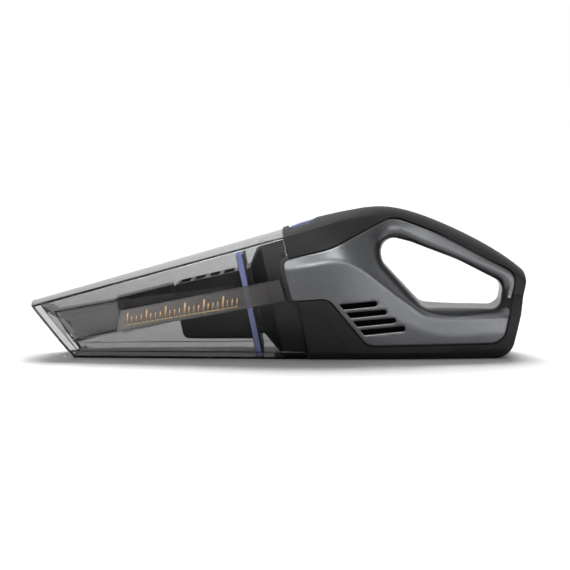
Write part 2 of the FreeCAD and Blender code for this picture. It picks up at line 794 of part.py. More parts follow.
def duct_form(inset, end):
    """Intake duct form: funnel from the mouth, then a straight tube to its end."""
    mouth = mouth_section(dim("mouth_recess"), CUP_WALL + 0.02 + inset)
    stages = [mouth, duct_section(-168.0, inset, 0.62), duct_section(dim("duct_ref"), inset)]
    funnel = Part.makeLoft(stages, True, True)
    tube_end = Part.makeLoft([duct_section(dim("duct_ref"), inset), duct_section(end, inset)],
                             True, True)
    return funnel.fuse(tube_end)


duct_inner = duct_form(dim("duct_wall"), dim("duct_end") + 5)
duct_outer = duct_form(0, dim("duct_end"))
keep("nozzle_duct", tidy(duct_outer.cut(duct_inner)))

SLEEVE_WALL = dim("sleeve_wall")
sleeve_stages = [duct_section(dim("duct_ref") - 8, -SLEEVE_WALL), duct_section(-80.0, -SLEEVE_WALL)]
hood = Part.makeLoft(sleeve_stages, True, True)
bore_stages = [duct_section(dim("duct_ref") - 10, -BORE_GAP), duct_section(-78.0, -BORE_GAP)]
hood = hood.cut(Part.makeLoft(bore_stages, True, True))
hood = hood.common(slab(dim("sleeve_reach"), 145.2))
drop = box((dim("sleeve_floor_end"), -70), (-18.5, 18.5), (15, duct_floor(-90) + 8))
hood = hood.cut(drop)
FLAP_PIN = (dim("flap_pin_x"), 49.6)
pin_reach = dim("duct_half_ref") + 0.6
flap_pin = rod(dim("flap_pin_r"), Vector(FLAP_PIN[0], -pin_reach, FLAP_PIN[1]),
               Vector(FLAP_PIN[0], pin_reach, FLAP_PIN[1]), axis=Y_AXIS)
hood = hood.cut(flap_pin)
keep("inlet_tube", hood)
keep("flap_pin", flap_pin)

FLAP_HALF = 21.6
flap_face = dim("duct_end") + 0.35
plate = box((flap_face, flap_face + dim("flap_thick")), (-FLAP_HALF, FLAP_HALF), (26.6, FLAP_PIN[1]))
knuckle = rod(1.75, Vector(FLAP_PIN[0], -FLAP_HALF, FLAP_PIN[1]),
              Vector(FLAP_PIN[0], FLAP_HALF, FLAP_PIN[1]), axis=Y_AXIS)
flap_bore = rod(dim("flap_pin_r") + 0.07, Vector(FLAP_PIN[0], -25, FLAP_PIN[1]),
                Vector(FLAP_PIN[0], 25, FLAP_PIN[1]), axis=Y_AXIS)
keep("inlet_flap", tidy(plate.fuse(knuckle).cut(flap_bore)))

# ---------------------------------------------------------------------------------------------
# Filter cartridge
# ---------------------------------------------------------------------------------------------
SEAL_DEPTH = dim("seal_depth")
FLANGE = (dim("flange_back"), dim("seal_front"))
MEDIA_HALF = dim("media_half")


def seam_x(distance, z):
    """x of the plane a given distance forward of the seam, at height z."""
    tilt = math.radians(dim("seam_tilt"))
    return dim("seam_foot") - z * math.tan(tilt) - distance / math.cos(tilt)


def filter_box(inset, back):
    """Side-view wedge of the filter box, moved in by inset and running back to a plane."""
    floor = dim("media_floor_z")
    front_top = dim("media_roof_front_z")
    back_top = dim("media_roof_back_z")
    front = dim("filter_front")
    corners = [
        (seam_x(front, floor), floor, 6.0),
        (seam_x(back, floor), floor, 0),
        (seam_x(back, back_top), back_top, 0),
        (seam_x(front, front_top), front_top, 4.0),
    ]
    half_width = MEDIA_HALF - inset
    return prism(rounded_wire(corners, -inset), -half_width, half_width)


seal_outer = seam_loft([(dim("seal_back"), FIT, 0), (dim("seal_front"), FIT, 0)])
seal_hole = seam_loft([(FLANGE[0], FIT, SEAL_DEPTH), (FLANGE[1] + 1, FIT, SEAL_DEPTH)])
keep("seal_ring", seal_outer.cut(seal_hole))
flange = seam_loft([(FLANGE[0], FIT, SEAL_DEPTH), (FLANGE[1], FIT, SEAL_DEPTH)])
frame = flange.fuse(filter_box(0, FLANGE[0] + 2))
frame = frame.cut(filter_box(2.2, FLANGE[0] - 20))
# Windows in the floor and roof of the box, the roof ones set further forward.
WINDOW_PITCH = 12.0
WINDOW_LENGTH = 8.5
WINDOW_HALF = 26.0
for k in range(4):
    for first, heights in ((-72.0, (10, 24)), (-81.0, (52, 80))):
        x_window = first + WINDOW_PITCH * k
        frame = frame.cut(box((x_window, x_window + WINDOW_LENGTH), (-WINDOW_HALF, WINDOW_HALF), heights))
keep("filter_frame", frame)


def pleats():
    """Pleated sheet standing inside the filter box: slanted leaves joined alternately."""
    low = dim("media_floor_z") + 2.8
    lean = math.tan(math.radians(dim("seam_tilt")))
    leaves = 15
    pitch = 3.4
    sheet_thick = 1.2
    first = -72.6
    first_high = 56.2
    roof_step = 0.55
    half_width = MEDIA_HALF - 2.5
    pieces = []
    for k in range(leaves):
        x_low = first + pitch * k
        high = first_high + roof_step * k
        shift = lean * (high - low)
        leaf = [(x_low, low), (x_low + sheet_thick, low),
                (x_low + sheet_thick - shift, high), (x_low - shift, high)]
        corners = [Vector(x, 0, z) for x, z in leaf]
        pieces.append(prism(Part.makePolygon(corners + corners[:1]), -half_width, half_width))
        if k < leaves - 1:
            z = low if k % 2 else high - sheet_thick
            x = x_low + 0.3 - (0 if k % 2 else shift)
            pieces.append(box((x, x + pitch + 0.4), (-half_width, half_width), (z, z + sheet_thick)))
    return fused(pieces)


keep("filter_media", pleats())

# ---------------------------------------------------------------------------------------------
# Fan and motor
# ---------------------------------------------------------------------------------------------
def turned(label, corners):
    """PartDesign body revolved about the motor axis; corners are (x, radius) expressions."""
    body = doc.addObject("PartDesign::Body", label)
    plane = next(f for f in body.Origin.OriginFeatures if f.Role == "XZ_Plane")
    sketch = body.newObject("Sketcher::SketchObject", label + "_profile")
    sketch.AttachmentSupport = [(plane, "")]
    sketch.MapMode = "FlatFace"
    places = [(float(sketch.evalExpression(a)), float(sketch.evalExpression(b))) for a, b in corners]
    count = len(places)
    for i in range(count):
        start = Vector(*places[i], 0)
        end = Vector(*places[(i + 1) % count], 0)
        sketch.addGeometry(Part.LineSegment(start, end), False)
    for i in range(count):
        sketch.addConstraint(Sketcher.Constraint("Coincident", i, 2, (i + 1) % count, 1))
    for i, (along, radius) in enumerate(corners):
        kx = sketch.addConstraint(Sketcher.Constraint("DistanceX", -1, 1, i, 1, places[i][0]))
        sketch.setExpression(f"Constraints[{kx}]", along)
        kz = sketch.addConstraint(Sketcher.Constraint("DistanceY", -1, 1, i, 1, places[i][1]))
        sketch.setExpression(f"Constraints[{kz}]", radius)
    turn = body.newObject("PartDesign::Revolution", label + "_turned")
    turn.Profile = sketch
    turn.ReferenceAxis = (sketch, ["H_Axis"])
    turn.Angle = 360
    body.Tip = turn
    body.setExpression("Placement.Base.z", "Sheet.motor_z")
    return keep(label, body)


def ring_profile(start, end, inner, outer):
    """Rectangle profile of a plain ring or disc."""
    return [(start, inner), (end, inner), (end, outer), (start, outer)]


turned("fan_cover", ring_profile("Sheet.fan_start - 2.2", "Sheet.fan_start", "15",
                                 "Sheet.fan_housing_radius"))
turned("motor_can", [
    ("Sheet.can_start", "Sheet.bearing_radius + 0.05"),
    ("Sheet.can_start + Sheet.can_wall", "Sheet.bearing_radius + 0.05"),
    ("Sheet.can_start + Sheet.can_wall", "Sheet.can_radius - Sheet.can_wall"),
    ("Sheet.can_start + Sheet.can_length", "Sheet.can_radius - Sheet.can_wall"),
    ("Sheet.can_start + Sheet.can_length", "Sheet.can_radius"),
    ("Sheet.can_start", "Sheet.can_radius"),
])
turned("motor_shaft", ring_profile("Sheet.can_start - 12", "Sheet.can_start + Sheet.can_length + 6",
                                   "0", "Sheet.shaft_radius"))
BEARING = ("Sheet.shaft_radius + 0.04", "Sheet.bearing_radius")
turned("motor_front_bearing", ring_profile("Sheet.can_start - 0.9", "Sheet.can_start + 2.3", *BEARING))
turned("motor_rear_bearing", ring_profile("Sheet.can_start + Sheet.can_length + 0.4",
                                          "Sheet.can_start + Sheet.can_length + 3.6", *BEARING))
RUBBER = ("Sheet.can_radius", "Sheet.can_radius + Sheet.rubber_thick")
turned("motor_rubber_front", ring_profile("Sheet.can_start + 2", "Sheet.can_start + 5", *RUBBER))
turned("motor_rubber_rear", ring_profile("Sheet.can_start + Sheet.can_length - 5",
                                         "Sheet.can_start + Sheet.can_length - 2", *RUBBER))
turned("commutator", ring_profile("Sheet.can_start + 31", "Sheet.can_start + 36",
                                  "Sheet.shaft_radius", "5"))

fan_housing = tube(FAN_RADIUS, FAN_RADIUS - FAN_WALL, FAN_START, CAN_START, MOTOR_Z)
fan_housing = fan_housing.fuse(tube(FAN_RADIUS, 6.5, FAN_BACK + 1.5, CAN_START, MOTOR_Z))
axis_point = Vector(0, 0, MOTOR_Z)
for k in range(8):
    window = box((FAN_START + 2, FAN_BACK), (25, 45), (MOTOR_Z - 7, MOTOR_Z + 7))
    window.rotate(axis_point, X_AXIS, 22.5 + 45 * k)
    fan_housing = fan_housing.cut(window)
keep("fan_housing", fan_housing)

IMPELLER = dim("fan_radius")
impeller_start = FAN_START + 0.8
blade_count = 9
blade_thick = 1.1
hub_radius = 5.5
impeller = tube(IMPELLER, 14.0, impeller_start, impeller_start + 1.0, MOTOR_Z)
impeller = impeller.fuse(tube(IMPELLER, dim("shaft_radius"), FAN_BACK - 1.4, FAN_BACK - 0.2, MOTOR_Z))
impeller = impeller.fuse(tube(hub_radius, dim("shaft_radius"), CAN_START - 8, CAN_START - 1.4, MOTOR_Z))
for k in range(blade_count):
    blade_z = (MOTOR_Z + 4, MOTOR_Z + 4 + blade_thick)
    blade = box((impeller_start, FAN_BACK - 0.5), (9, IMPELLER - 1.2), blade_z)
    blade.rotate(axis_point, X_AXIS, 360 / blade_count * k)
    impeller = impeller.fuse(blade)
keep("impeller", tidy(impeller))
nut_radius = 3.1
nut_sides = []
for k in range(7):
    turn = math.radians(60 * k)
    side_y = nut_radius * math.cos(turn)
    side_z = MOTOR_Z + nut_radius * math.sin(turn)
    nut_sides.append(Vector(CAN_START - 11, side_y, side_z))
nut = Part.Face(Part.makePolygon(nut_sides)).extrude(X_AXIS * 3)
keep("impeller_nut", nut.cut(rod(dim("shaft_radius"), 0, 90, z=MOTOR_Z)))

core = tube(dim("rotor_radius"), dim("shaft_radius"), CAN_START + 6, CAN_START + 27, MOTOR_Z)
for k in range(5):
    slot = box((CAN_START, CAN_END), (6, 20), (MOTOR_Z - 1.2, MOTOR_Z + 1.2))
    slot.rotate(axis_point, X_AXIS, 72 * k)
    core = core.cut(slot)
keep("rotor_core", core)
keep("rotor_windings", Part.makeCompound([
    tube(11.0, 4.5, CAN_START + 3.2, CAN_START + 6, MOTOR_Z),
    tube(11.0, 4.5, CAN_START + 27, CAN_START + 29.8, MOTOR_Z),
]))
magnet = tube(CAN_RADIUS - dim("can_wall"), CAN_RADIUS - dim("can_wall") - dim("magnet_thick"),
              CAN_START + 4, CAN_START + 29, MOTOR_Z)
keep("motor_magnets", magnet.cut(box((0, BIG), (-5, 5), (-BIG, BIG))))
end_cap = tube(CAN_RADIUS, dim("bearing_radius") + BORE_GAP, CAN_END, CAN_END + 4, MOTOR_Z)
brushes = []
tabs = []
for side in (-1, 1):
    holder_y = sorted((side * 11.5, side * 16.0))
    end_cap = end_cap.fuse(box((CAN_START + 31.5, CAN_END), holder_y, (MOTOR_Z - 3, MOTOR_Z + 3)))
    brush_y = sorted((side * 5.3, side * 11.5))
    brushes.append(box((CAN_START + 32, CAN_START + 35.5), brush_y, (MOTOR_Z - 2, MOTOR_Z + 2)))
    tab_y = sorted((side * 9.0, side * 9.7))
    tabs.append(box((CAN_END + 4, CAN_END + 9), tab_y, (MOTOR_Z - 2.4, MOTOR_Z + 2.4)))
keep("motor_end_cap", end_cap)
keep("motor_brushes", Part.makeCompound(brushes))
keep("motor_terminals", Part.makeCompound(tabs))

# ---------------------------------------------------------------------------------------------
# Battery, charging board, switch and light
# ---------------------------------------------------------------------------------------------
CELL_R = dim("cell_radius")
CELL_L = dim("cell_length")
CELL_Z = dim("cell_z")
FIRST = dim("cells_start")
cells = []
grooves = []
for row in range(2):
    start = FIRST + row * (CELL_L + dim("cells_gap"))
    for lane in (-1, 0, 1):
        y = lane * dim("cell_pitch")
        can = rod(CELL_R, start, start + CELL_L - 0.8, y, CELL_Z)
        cells.append(can.fuse(rod(3.0, start + CELL_L - 1, start + CELL_L, y, CELL_Z)))
        grooves.append(rod(CELL_R + 0.1, 0, BIG, y, CELL_Z))
keep("battery_cells", Part.makeCompound(cells))
cradle = box((60, 172), (-29, 29), (SKIN + 0.1, 10))
keep("battery_cradle", cradle.cut(fused(grooves)))
strips = []
for x in (FIRST - 0.5, FIRST + CELL_L + 0.4, FIRST + 2 * CELL_L + dim("cells_gap") + 0.1):
    strips.append(box((x, x + 0.4), (-24, 24), (CELL_Z - 4, CELL_Z + 4)))
keep("battery_strips", Part.makeCompound(strips))


def block(label, corner, size):
    """Parametric box: corner and size are three expressions each."""
    feature = doc.addObject("Part::Box", label)
    for name, expression in zip(("x", "y", "z"), corner):
        feature.setExpression(f"Placement.Base.{name}", expression)
    for name, expression in zip(("Length", "Width", "Height"), size):
        feature.setExpression(name, expression)
    return keep(label, feature)


block("charge_board", ("Sheet.board_start", "-Sheet.board_half", "Sheet.board_z"),
      ("Sheet.board_length", "2 * Sheet.board_half", "Sheet.board_thick"))
top = BOARD_Z + dim("board_thick")
start = dim("board_start")
keep("board_components", Part.makeCompound([
    box((start + 5, start + 15), (-14, -4), (top, top + 5)),
    box((start + 20, start + 30), (4, 12), (top, top + 3)),
    Part.makeCylinder(3.0, 6.5, Vector(start + 10, 10, top), Z_AXIS),
    Part.makeCylinder(3.0, 6.5, Vector(start + 36, -10, top), Z_AXIS),
    box((start + 30, start + 42), (2, 14), (top, top + 2)),
]))
INLET_Z = dim("inlet_z")
jack = box((178, 190.4), (-5.5, 5.5), (26.5, 37))
keep("dc_jack", jack.cut(rod(dim("inlet_bore_r"), 180.5, 195, z=INLET_Z)))
keep("dc_jack_pin", rod(dim("inlet_pin_r"), 180.5, 189.6, z=INLET_Z))

block("switch_board",
      ("Sheet.power_x - Sheet.switch_board_front", "-Sheet.switch_board_half", "Sheet.switch_z"),
      ("Sheet.switch_board_length", "2 * Sheet.switch_board_half", "Sheet.board_thick"))
board_top = SWITCH_Z + dim("board_thick")
switch = box((POWER_X - 6, POWER_X + 6), (-3.2, 3.2), (board_top, board_top + 7))
plunger = Part.makeCylinder(1.2, 3.0, Vector(POWER_X, 0, board_top + 6.5), Z_AXIS)
keep("power_switch", switch.fuse(plunger.common(box((0, 90), (-5, 5), (0, FLANGE_Z[0] - 1.6)))))
keep("status_led", Part.makeCylinder(1.5, 4.5, Vector(LED_X, 0, board_top), Z_AXIS))
lens = Part.makeCylinder(1.8, 40, Vector(LED_X, 0, board_top + 6), Z_AXIS)
keep("led_lens", lens.common(FULL.fuse(mirrored(FULL))))


def wire_run(label, corners, side):
    """Insulated lead along a polyline with rounded bends, given as (x, y, z)."""
    points = [Vector(x, y * side, z) for x, y, z in corners]
    bend = 4.0
    edges = []
    last = points[0]
    for here, ahead in zip(points[1:-1], points[2:]):
        back = (last - here).normalize()
        onward = (ahead - here).normalize()
        half_angle = back.getAngle(onward) / 2
        reach = bend / math.tan(half_angle)
        middle = here + (back + onward).normalize() * (bend / math.sin(half_angle) - bend)
        edges.append(Part.LineSegment(last, here + back * reach).toShape())
        edges.append(Part.Arc(here + back * reach, middle, here + onward * reach).toShape())
        last = here + onward * reach
    edges.append(Part.LineSegment(last, points[-1]).toShape())
    path = Part.Wire(edges)
    heading = points[1] - points[0]
    circle = Part.Wire(Part.makeCircle(0.9, points[0], heading))
    return keep(label, path.makePipeShell([circle], True, False))


LEAD = ((98.2, 9.3, MOTOR_Z), (106.0, 13.0, MOTOR_Z - 6), (118.0, 15.0, 34.0), (128.0, 15.0, 30.4))
wire_run("motor_lead_positive", LEAD, 1)
wire_run("motor_lead_negative", LEAD, -1)

# ---------------------------------------------------------------------------------------------
# Checks and export
# ---------------------------------------------------------------------------------------------
doc.recompute()
for item in doc.Objects:
    if "Invalid" in item.State or "Error" in item.State:
        raise RuntimeError(f"{item.Label}: {item.State}")
for node in NODES:
    shape = node.Shape
    if shape.isNull() or not shape.isValid() or not shape.Solids:
        raise RuntimeError(f"{node.Label}: shape is not a valid solid")
    shape.exportStep(f"parts/{node.Label}.step")
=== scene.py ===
"""Looks of the handheld vacuum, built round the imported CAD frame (metres, same frame)."""

import json
import math

import bmesh
import bpy
import numpy as np
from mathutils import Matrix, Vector
from mathutils.geometry import delaunay_2d_cdt


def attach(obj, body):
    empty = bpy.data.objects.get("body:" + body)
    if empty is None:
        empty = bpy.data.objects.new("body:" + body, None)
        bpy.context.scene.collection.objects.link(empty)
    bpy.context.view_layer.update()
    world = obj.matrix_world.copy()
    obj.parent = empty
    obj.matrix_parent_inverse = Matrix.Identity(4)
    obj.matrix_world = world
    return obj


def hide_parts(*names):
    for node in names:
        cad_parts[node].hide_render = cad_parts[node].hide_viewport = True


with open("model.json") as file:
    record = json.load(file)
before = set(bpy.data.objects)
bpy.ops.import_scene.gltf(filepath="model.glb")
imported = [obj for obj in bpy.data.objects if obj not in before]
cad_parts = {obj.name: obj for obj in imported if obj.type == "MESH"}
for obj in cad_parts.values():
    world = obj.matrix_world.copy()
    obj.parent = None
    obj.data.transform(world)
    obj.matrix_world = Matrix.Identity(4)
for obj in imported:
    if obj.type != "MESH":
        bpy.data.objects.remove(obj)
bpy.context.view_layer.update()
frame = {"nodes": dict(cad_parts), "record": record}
MM = 0.001

# --------------------------------------------
# Materials
# --------------------------------------------


def new_material(name):
    """An empty node material with its output; returns (material, nodes, links, output)."""
    material = bpy.data.materials.new(name)
    material.use_nodes = True
    nodes, links = material.node_tree.nodes, material.node_tree.links
    nodes.clear()
    return material, nodes, links, nodes.new("ShaderNodeOutputMaterial")


def noise(nodes, links, coords, scale, detail):
    """Noise texture in object space."""
    texture = nodes.new("ShaderNodeTexNoise")
    texture.inputs["Scale"].default_value = scale
    texture.inputs["Detail"].default_value = detail
    links.new(coords.outputs["Object"], texture.inputs["Vector"])
    return texture


def faded(nodes, links, coords, color_out, axis, first, last, share):
    """Painted light and shade: colour scaled along an axis of the object, from a share of itself at
    first to all at last.
    """
    split = nodes.new("ShaderNodeSeparateXYZ")
    links.new(coords.outputs["Object"], split.inputs["Vector"])
    amount = nodes.new("ShaderNodeMapRange")
    amount.inputs["From Min"].default_value = first
    amount.inputs["From Max"].default_value = last
    amount.inputs["To Min"].default_value = share
    amount.inputs["To Max"].default_value = 1.0
    links.new(split.outputs[axis], amount.inputs["Value"])
    shade = nodes.new("ShaderNodeVectorMath")
    shade.operation = "SCALE"
    links.new(color_out, shade.inputs[0])
    links.new(amount.outputs["Result"], shade.inputs["Scale"])
    return shade.outputs["Vector"]


FINE_DETAIL = 3.0
BROAD_SCALE, BROAD_DETAIL = 28.0, 2.0
TINT_LOW, TINT_HIGH = 0.3, 0.7
GLOSS_SPREAD = 0.06
RELIEF_DEPTH = 0.2 * MM


def moulded(name, color, roughness=0.5, metallic=0.0, grain=900.0, bump=0.05, vary=0.08,
            speckle=0.0, specular=0.5, reflection=1.0, transmission=0.0, ior=1.5, painted_fade=None,
            painted_glow=0.0, cover=1.0):
    """Moulded, printed or lacquered surface: fine grain in colour, roughness and bump.

    speckle is how strongly the fine grain shows in the colour; fade holds the axis, ends and share
    of a colour gradient that paints light and shade onto the surface; reflection dims the mirror image
    in a clear wall; glow is painted light, an emission in the surface's own colour; cover is the share
    of what lies behind it that a print hides.
    """
    material, nodes, links, output = new_material(name)
    shader = nodes.new("ShaderNodeBsdfPrincipled")
    coords = nodes.new("ShaderNodeTexCoord")
    fine = noise(nodes, links, coords, grain, FINE_DETAIL)
    broad = noise(nodes, links, coords, BROAD_SCALE, BROAD_DETAIL)
    tint = nodes.new("ShaderNodeValToRGB")
    dark, light = tint.color_ramp.elements
    dark.position, light.position = TINT_LOW, TINT_HIGH
    dark.color = (*(c * (1 - vary) for c in color), 1)
    light.color = (*(min(1.0, c * (1 + vary)) for c in color), 1)
    blend = nodes.new("ShaderNodeMapRange")
    if speckle:
        blend.inputs["From Min"].default_value = 0.5 - 0.5 * (1 - speckle)
        blend.inputs["From Max"].default_value = 0.5 + 0.5 * (1 - speckle)
        links.new(fine.outputs["Fac"], blend.inputs["Value"])
    else:
        links.new(broad.outputs["Fac"], blend.inputs["Value"])
    links.new(blend.outputs["Result"], tint.inputs["Fac"])
    color_out = tint.outputs["Color"]
    # Painted light and shade: the colour darkens along an axis of the object.
    if painted_fade:
        color_out = faded(nodes, links, coords, color_out, *painted_fade)
    links.new(color_out, shader.inputs["Base Color"])
    gloss = nodes.new("ShaderNodeMapRange")
    gloss.inputs["To Min"].default_value = max(0.0, roughness - GLOSS_SPREAD)
    gloss.inputs["To Max"].default_value = min(1.0, roughness + GLOSS_SPREAD)
    links.new(broad.outputs["Fac"], gloss.inputs["Value"])
    links.new(gloss.outputs["Result"], shader.inputs["Roughness"])
    if bump:
        relief = nodes.new("ShaderNodeBump")
        relief.inputs["Strength"].default_value = bump
        relief.inputs["Distance"].default_value = RELIEF_DEPTH
        links.new(fine.outputs["Fac"], relief.inputs["Height"])
        links.new(relief.outputs["Normal"], shader.inputs["Normal"])
    shader.inputs["Metallic"].default_value = metallic
    shader.inputs["Specular IOR Level"].default_value = specular
    shader.inputs["Specular Tint"].default_value = (reflection, reflection, reflection, 1.0)
    shader.inputs["Transmission Weight"].default_value = transmission
    shader.inputs["IOR"].default_value = ior
    shader.inputs["Alpha"].default_value = cover
    # Painted light: the surface gives off light in its own colour, though it is no lamp.
    if painted_glow:
        shader.inputs["Emission Strength"].default_value = painted_glow
        links.new(color_out, shader.inputs["Emission Color"])
    links.new(shader.outputs["BSDF"], output.inputs["Surface"])
    return material


# Outer shells, clear parts, prints and the blue parts first, then mostly what is inside.
FINISHES = {
    "black_shell": dict(color=(0.028, 0.028, 0.0285), roughness=0.52, grain=1400, bump=0.10,
                        specular=0.17),
    "gunmetal_plastic": dict(color=(0.102, 0.104, 0.109), roughness=0.31, metallic=0.88,
                             grain=3800, bump=0.08, vary=0.30, speckle=0.60, specular=0.4),
    # clear_smoke: painted shade, the cup's tint darker towards the bottom where less light falls.
    "clear_smoke": dict(color=(0.64, 0.64, 0.645), roughness=0.0, transmission=1.0, ior=1.40,
                        reflection=0.45, grain=60, bump=0.0, vary=0.02, painted_fade=("Z", 0.0, 0.09, 0.68)),
    "duct_smoke": dict(color=(0.62, 0.61, 0.60), roughness=0.06, transmission=0.95, ior=1.46,
                       reflection=0.45, grain=60, bump=0.0, vary=0.03),
    "dark_smoke": dict(color=(0.12, 0.117, 0.114), roughness=0.12, transmission=0.85, ior=1.46,
                       grain=60, bump=0.0, vary=0.03),
    # band_print_and_painted_reflection: a print lightened as a painted reflection of a softbox on the
    # flank; its gradient makes that painted reflection bright at the nozzle end and dim towards the
    # seam.
    "band_print_and_painted_reflection": dict(color=(0.62, 0.585, 0.56), roughness=0.3, grain=300, bump=0.0, vary=0.06,
                       cover=0.48, painted_fade=("X", 0.0, -0.13, 0.16)),
    "gold_print": dict(color=(0.80, 0.52, 0.26), roughness=0.35, metallic=0.6, grain=1200, vary=0.15),
    # seal_blue and button_blue: their glow is painted light, an emission that brightens them though
    # they are no lamps.
    "seal_blue": dict(color=(0.38, 0.43, 0.80), roughness=0.35, grain=400, painted_glow=0.19),
    "button_blue": dict(color=(0.50, 0.56, 0.84), roughness=0.25, grain=400, painted_glow=0.10),
    # black_plastic: painted reflection, lighter above 88 mm and darkened to a share of 0.13 below 48
    # mm.
    "black_plastic": dict(color=(0.12, 0.119, 0.118), roughness=0.4, grain=1200, bump=0.0, vary=0.05,
                          specular=0.3, painted_fade=("Z", 0.048, 0.088, 0.13)),
    "black_rubber": dict(color=(0.010, 0.010, 0.011), roughness=0.75, grain=800, bump=0.15,
                         specular=0.2),
    "filter_paper": dict(color=(0.72, 0.71, 0.66), roughness=0.85, grain=1800, bump=0.3),
    "foam": dict(color=(0.006, 0.006, 0.0065), roughness=0.95, grain=2500, bump=0.8, specular=0.1),
    "steel": dict(color=(0.62, 0.62, 0.63), roughness=0.25, metallic=1.0, grain=1500),
    "motor_steel": dict(color=(0.45, 0.45, 0.45), roughness=0.3, metallic=1.0),
    "lamination": dict(color=(0.20, 0.20, 0.21), roughness=0.45, metallic=1.0, grain=2200),
    "magnet": dict(color=(0.05, 0.05, 0.055), roughness=0.6, grain=1600, bump=0.2),
    "bronze": dict(color=(0.50, 0.30, 0.13), roughness=0.35, metallic=1.0, grain=1500),
    "copper": dict(color=(0.66, 0.27, 0.12), roughness=0.28, metallic=1.0, grain=1500),
    "brass_tab": dict(color=(0.72, 0.52, 0.20), roughness=0.25, metallic=1.0, grain=1500),
    "carbon": dict(color=(0.03, 0.03, 0.03), roughness=0.6, grain=1500),
    "impeller_plastic": dict(color=(0.70, 0.69, 0.64), roughness=0.45, grain=700),
    "cell_wrap": dict(color=(0.03, 0.16, 0.45), roughness=0.25, grain=500),
    "nickel": dict(color=(0.62, 0.60, 0.56), roughness=0.25, metallic=1.0, grain=1500),
    "pcb_green": dict(color=(0.01, 0.12, 0.04), roughness=0.3, grain=600),
    "chips": dict(color=(0.02, 0.02, 0.022), roughness=0.5, grain=1500),
    "led_blue": dict(color=(0.40, 0.55, 0.90), roughness=0.15, transmission=0.6, grain=300),
    "wire_red": dict(color=(0.45, 0.02, 0.015), roughness=0.35, grain=600),
    "wire_black": dict(color=(0.012, 0.012, 0.012), roughness=0.35, grain=600),
}
MATERIALS = {name: moulded(name, **finish) for name, finish in FINISHES.items()}

# CAD nodes whose look is not that of their own slot.
NODE_LOOKS = {"nozzle_duct": "duct_smoke", "power_button": "black_shell"}


def dress_cad_nodes():
    """Gives every CAD node its material."""
    for entry in frame["record"]["subparts"]:
        mesh = frame["nodes"][entry["node"]].data
        mesh.materials.clear()
        mesh.materials.append(MATERIALS[NODE_LOOKS.get(entry["node"], entry["material_slot"])])
        for polygon in mesh.polygons:
            polygon.material_index = 0


dress_cad_nodes()


# --------------------------------------------
# Casing form: half-width of the body as a function of (x, z), in millimetres
# --------------------------------------------
# x, then floor half, skirt half, flank (half, z), crease (half, z), throat (half, z),
# brow (half, z) and crown z of each cross-section, as in the CAD model.
STATIONS = np.array([
    (-2, 44.0, 49.4, 54.4, 42.0, 53.2, 72.5, 50.6, 86.0, 46.6, 97.8, 102.8),
    (26, 45.0, 50.4, 55.2, 46.0, 53.8, 77.0, 49.2, 91.0, 41.0, 105.2, 112.3),
    (56, 45.4, 50.8, 54.4, 46.0, 52.4, 79.5, 42.5, 97.5, 30.0, 112.5, 119.4),
    (84, 44.6, 50.0, 52.0, 38.0, 50.2, 62.0, 27.0, 93.0, 20.5, 114.5, 122.9),
    (126, 42.0, 47.0, 48.0, 21.0, 46.8, 36.5, 21.5, 52.0, 19.0, 104.2, 113.1),
    (176, 36.5, 41.0, 42.0, 21.0, 40.5, 35.5, 20.0, 48.0, 17.6, 80.0, 88.9),
    (212, 31.0, 35.0, 35.5, 19.0, 33.5, 30.0, 19.0, 41.0, 16.4, 52.5, 60.8),
])
SKIRT_Z = 5.5
SEAM_FOOT = 25.3
GRID_X = np.arange(STATIONS[0, 0], STATIONS[-1, 0] + 0.01, 1.0)
GRID_Q = np.linspace(0.0, 1.0, 481)
CROWN_POINTS = 24
SECTION_STEP = 0.4
SECTION_ROUNDING = 3.2
FLOOR_EDGE = 0.35


def natural_spline(xs, ys, at):
    """Natural cubic spline through (xs, ys), evaluated at the given points."""
    count = len(xs)
    gaps = np.diff(xs)
    matrix = np.eye(count)
    right = np.zeros((count, ys.shape[1]))
    for i in range(1, count - 1):
        matrix[i, i - 1] = gaps[i - 1]
        matrix[i, i] = 2 * (gaps[i - 1] + gaps[i])
        matrix[i, i + 1] = gaps[i]
        right[i] = 6 * ((ys[i + 1] - ys[i]) / gaps[i] - (ys[i] - ys[i - 1]) / gaps[i - 1])
    bend = np.linalg.solve(matrix, right)
    k = np.clip(np.searchsorted(xs, at) - 1, 0, count - 2)
    gap = gaps[k][:, None]
    a = (xs[k + 1] - at)[:, None] / gap
    b = (at - xs[k])[:, None] / gap
    return (a * ys[k] + b * ys[k + 1]
            + ((a ** 3 - a) * bend[k] + (b ** 3 - b) * bend[k + 1]) * gap ** 2 / 6)


def smooth_loop(points, step, window):
    """Closed outline resampled evenly and rounded by a moving average of the given length."""
    closed = np.vstack([points, points[:1]])
    lengths = np.concatenate([[0], np.cumsum(np.hypot(*np.diff(closed, axis=0).T))])
    count = int(lengths[-1] / step)
    at = np.arange(count) * lengths[-1] / count
    even = np.stack([np.interp(at, lengths, closed[:, i]) for i in (0, 1)], axis=1)
    reach = max(1, int(round(window / step / 2)))
    total = sum(np.roll(even, shift, axis=0) for shift in range(-reach, reach + 1))
    return total / (2 * reach + 1)


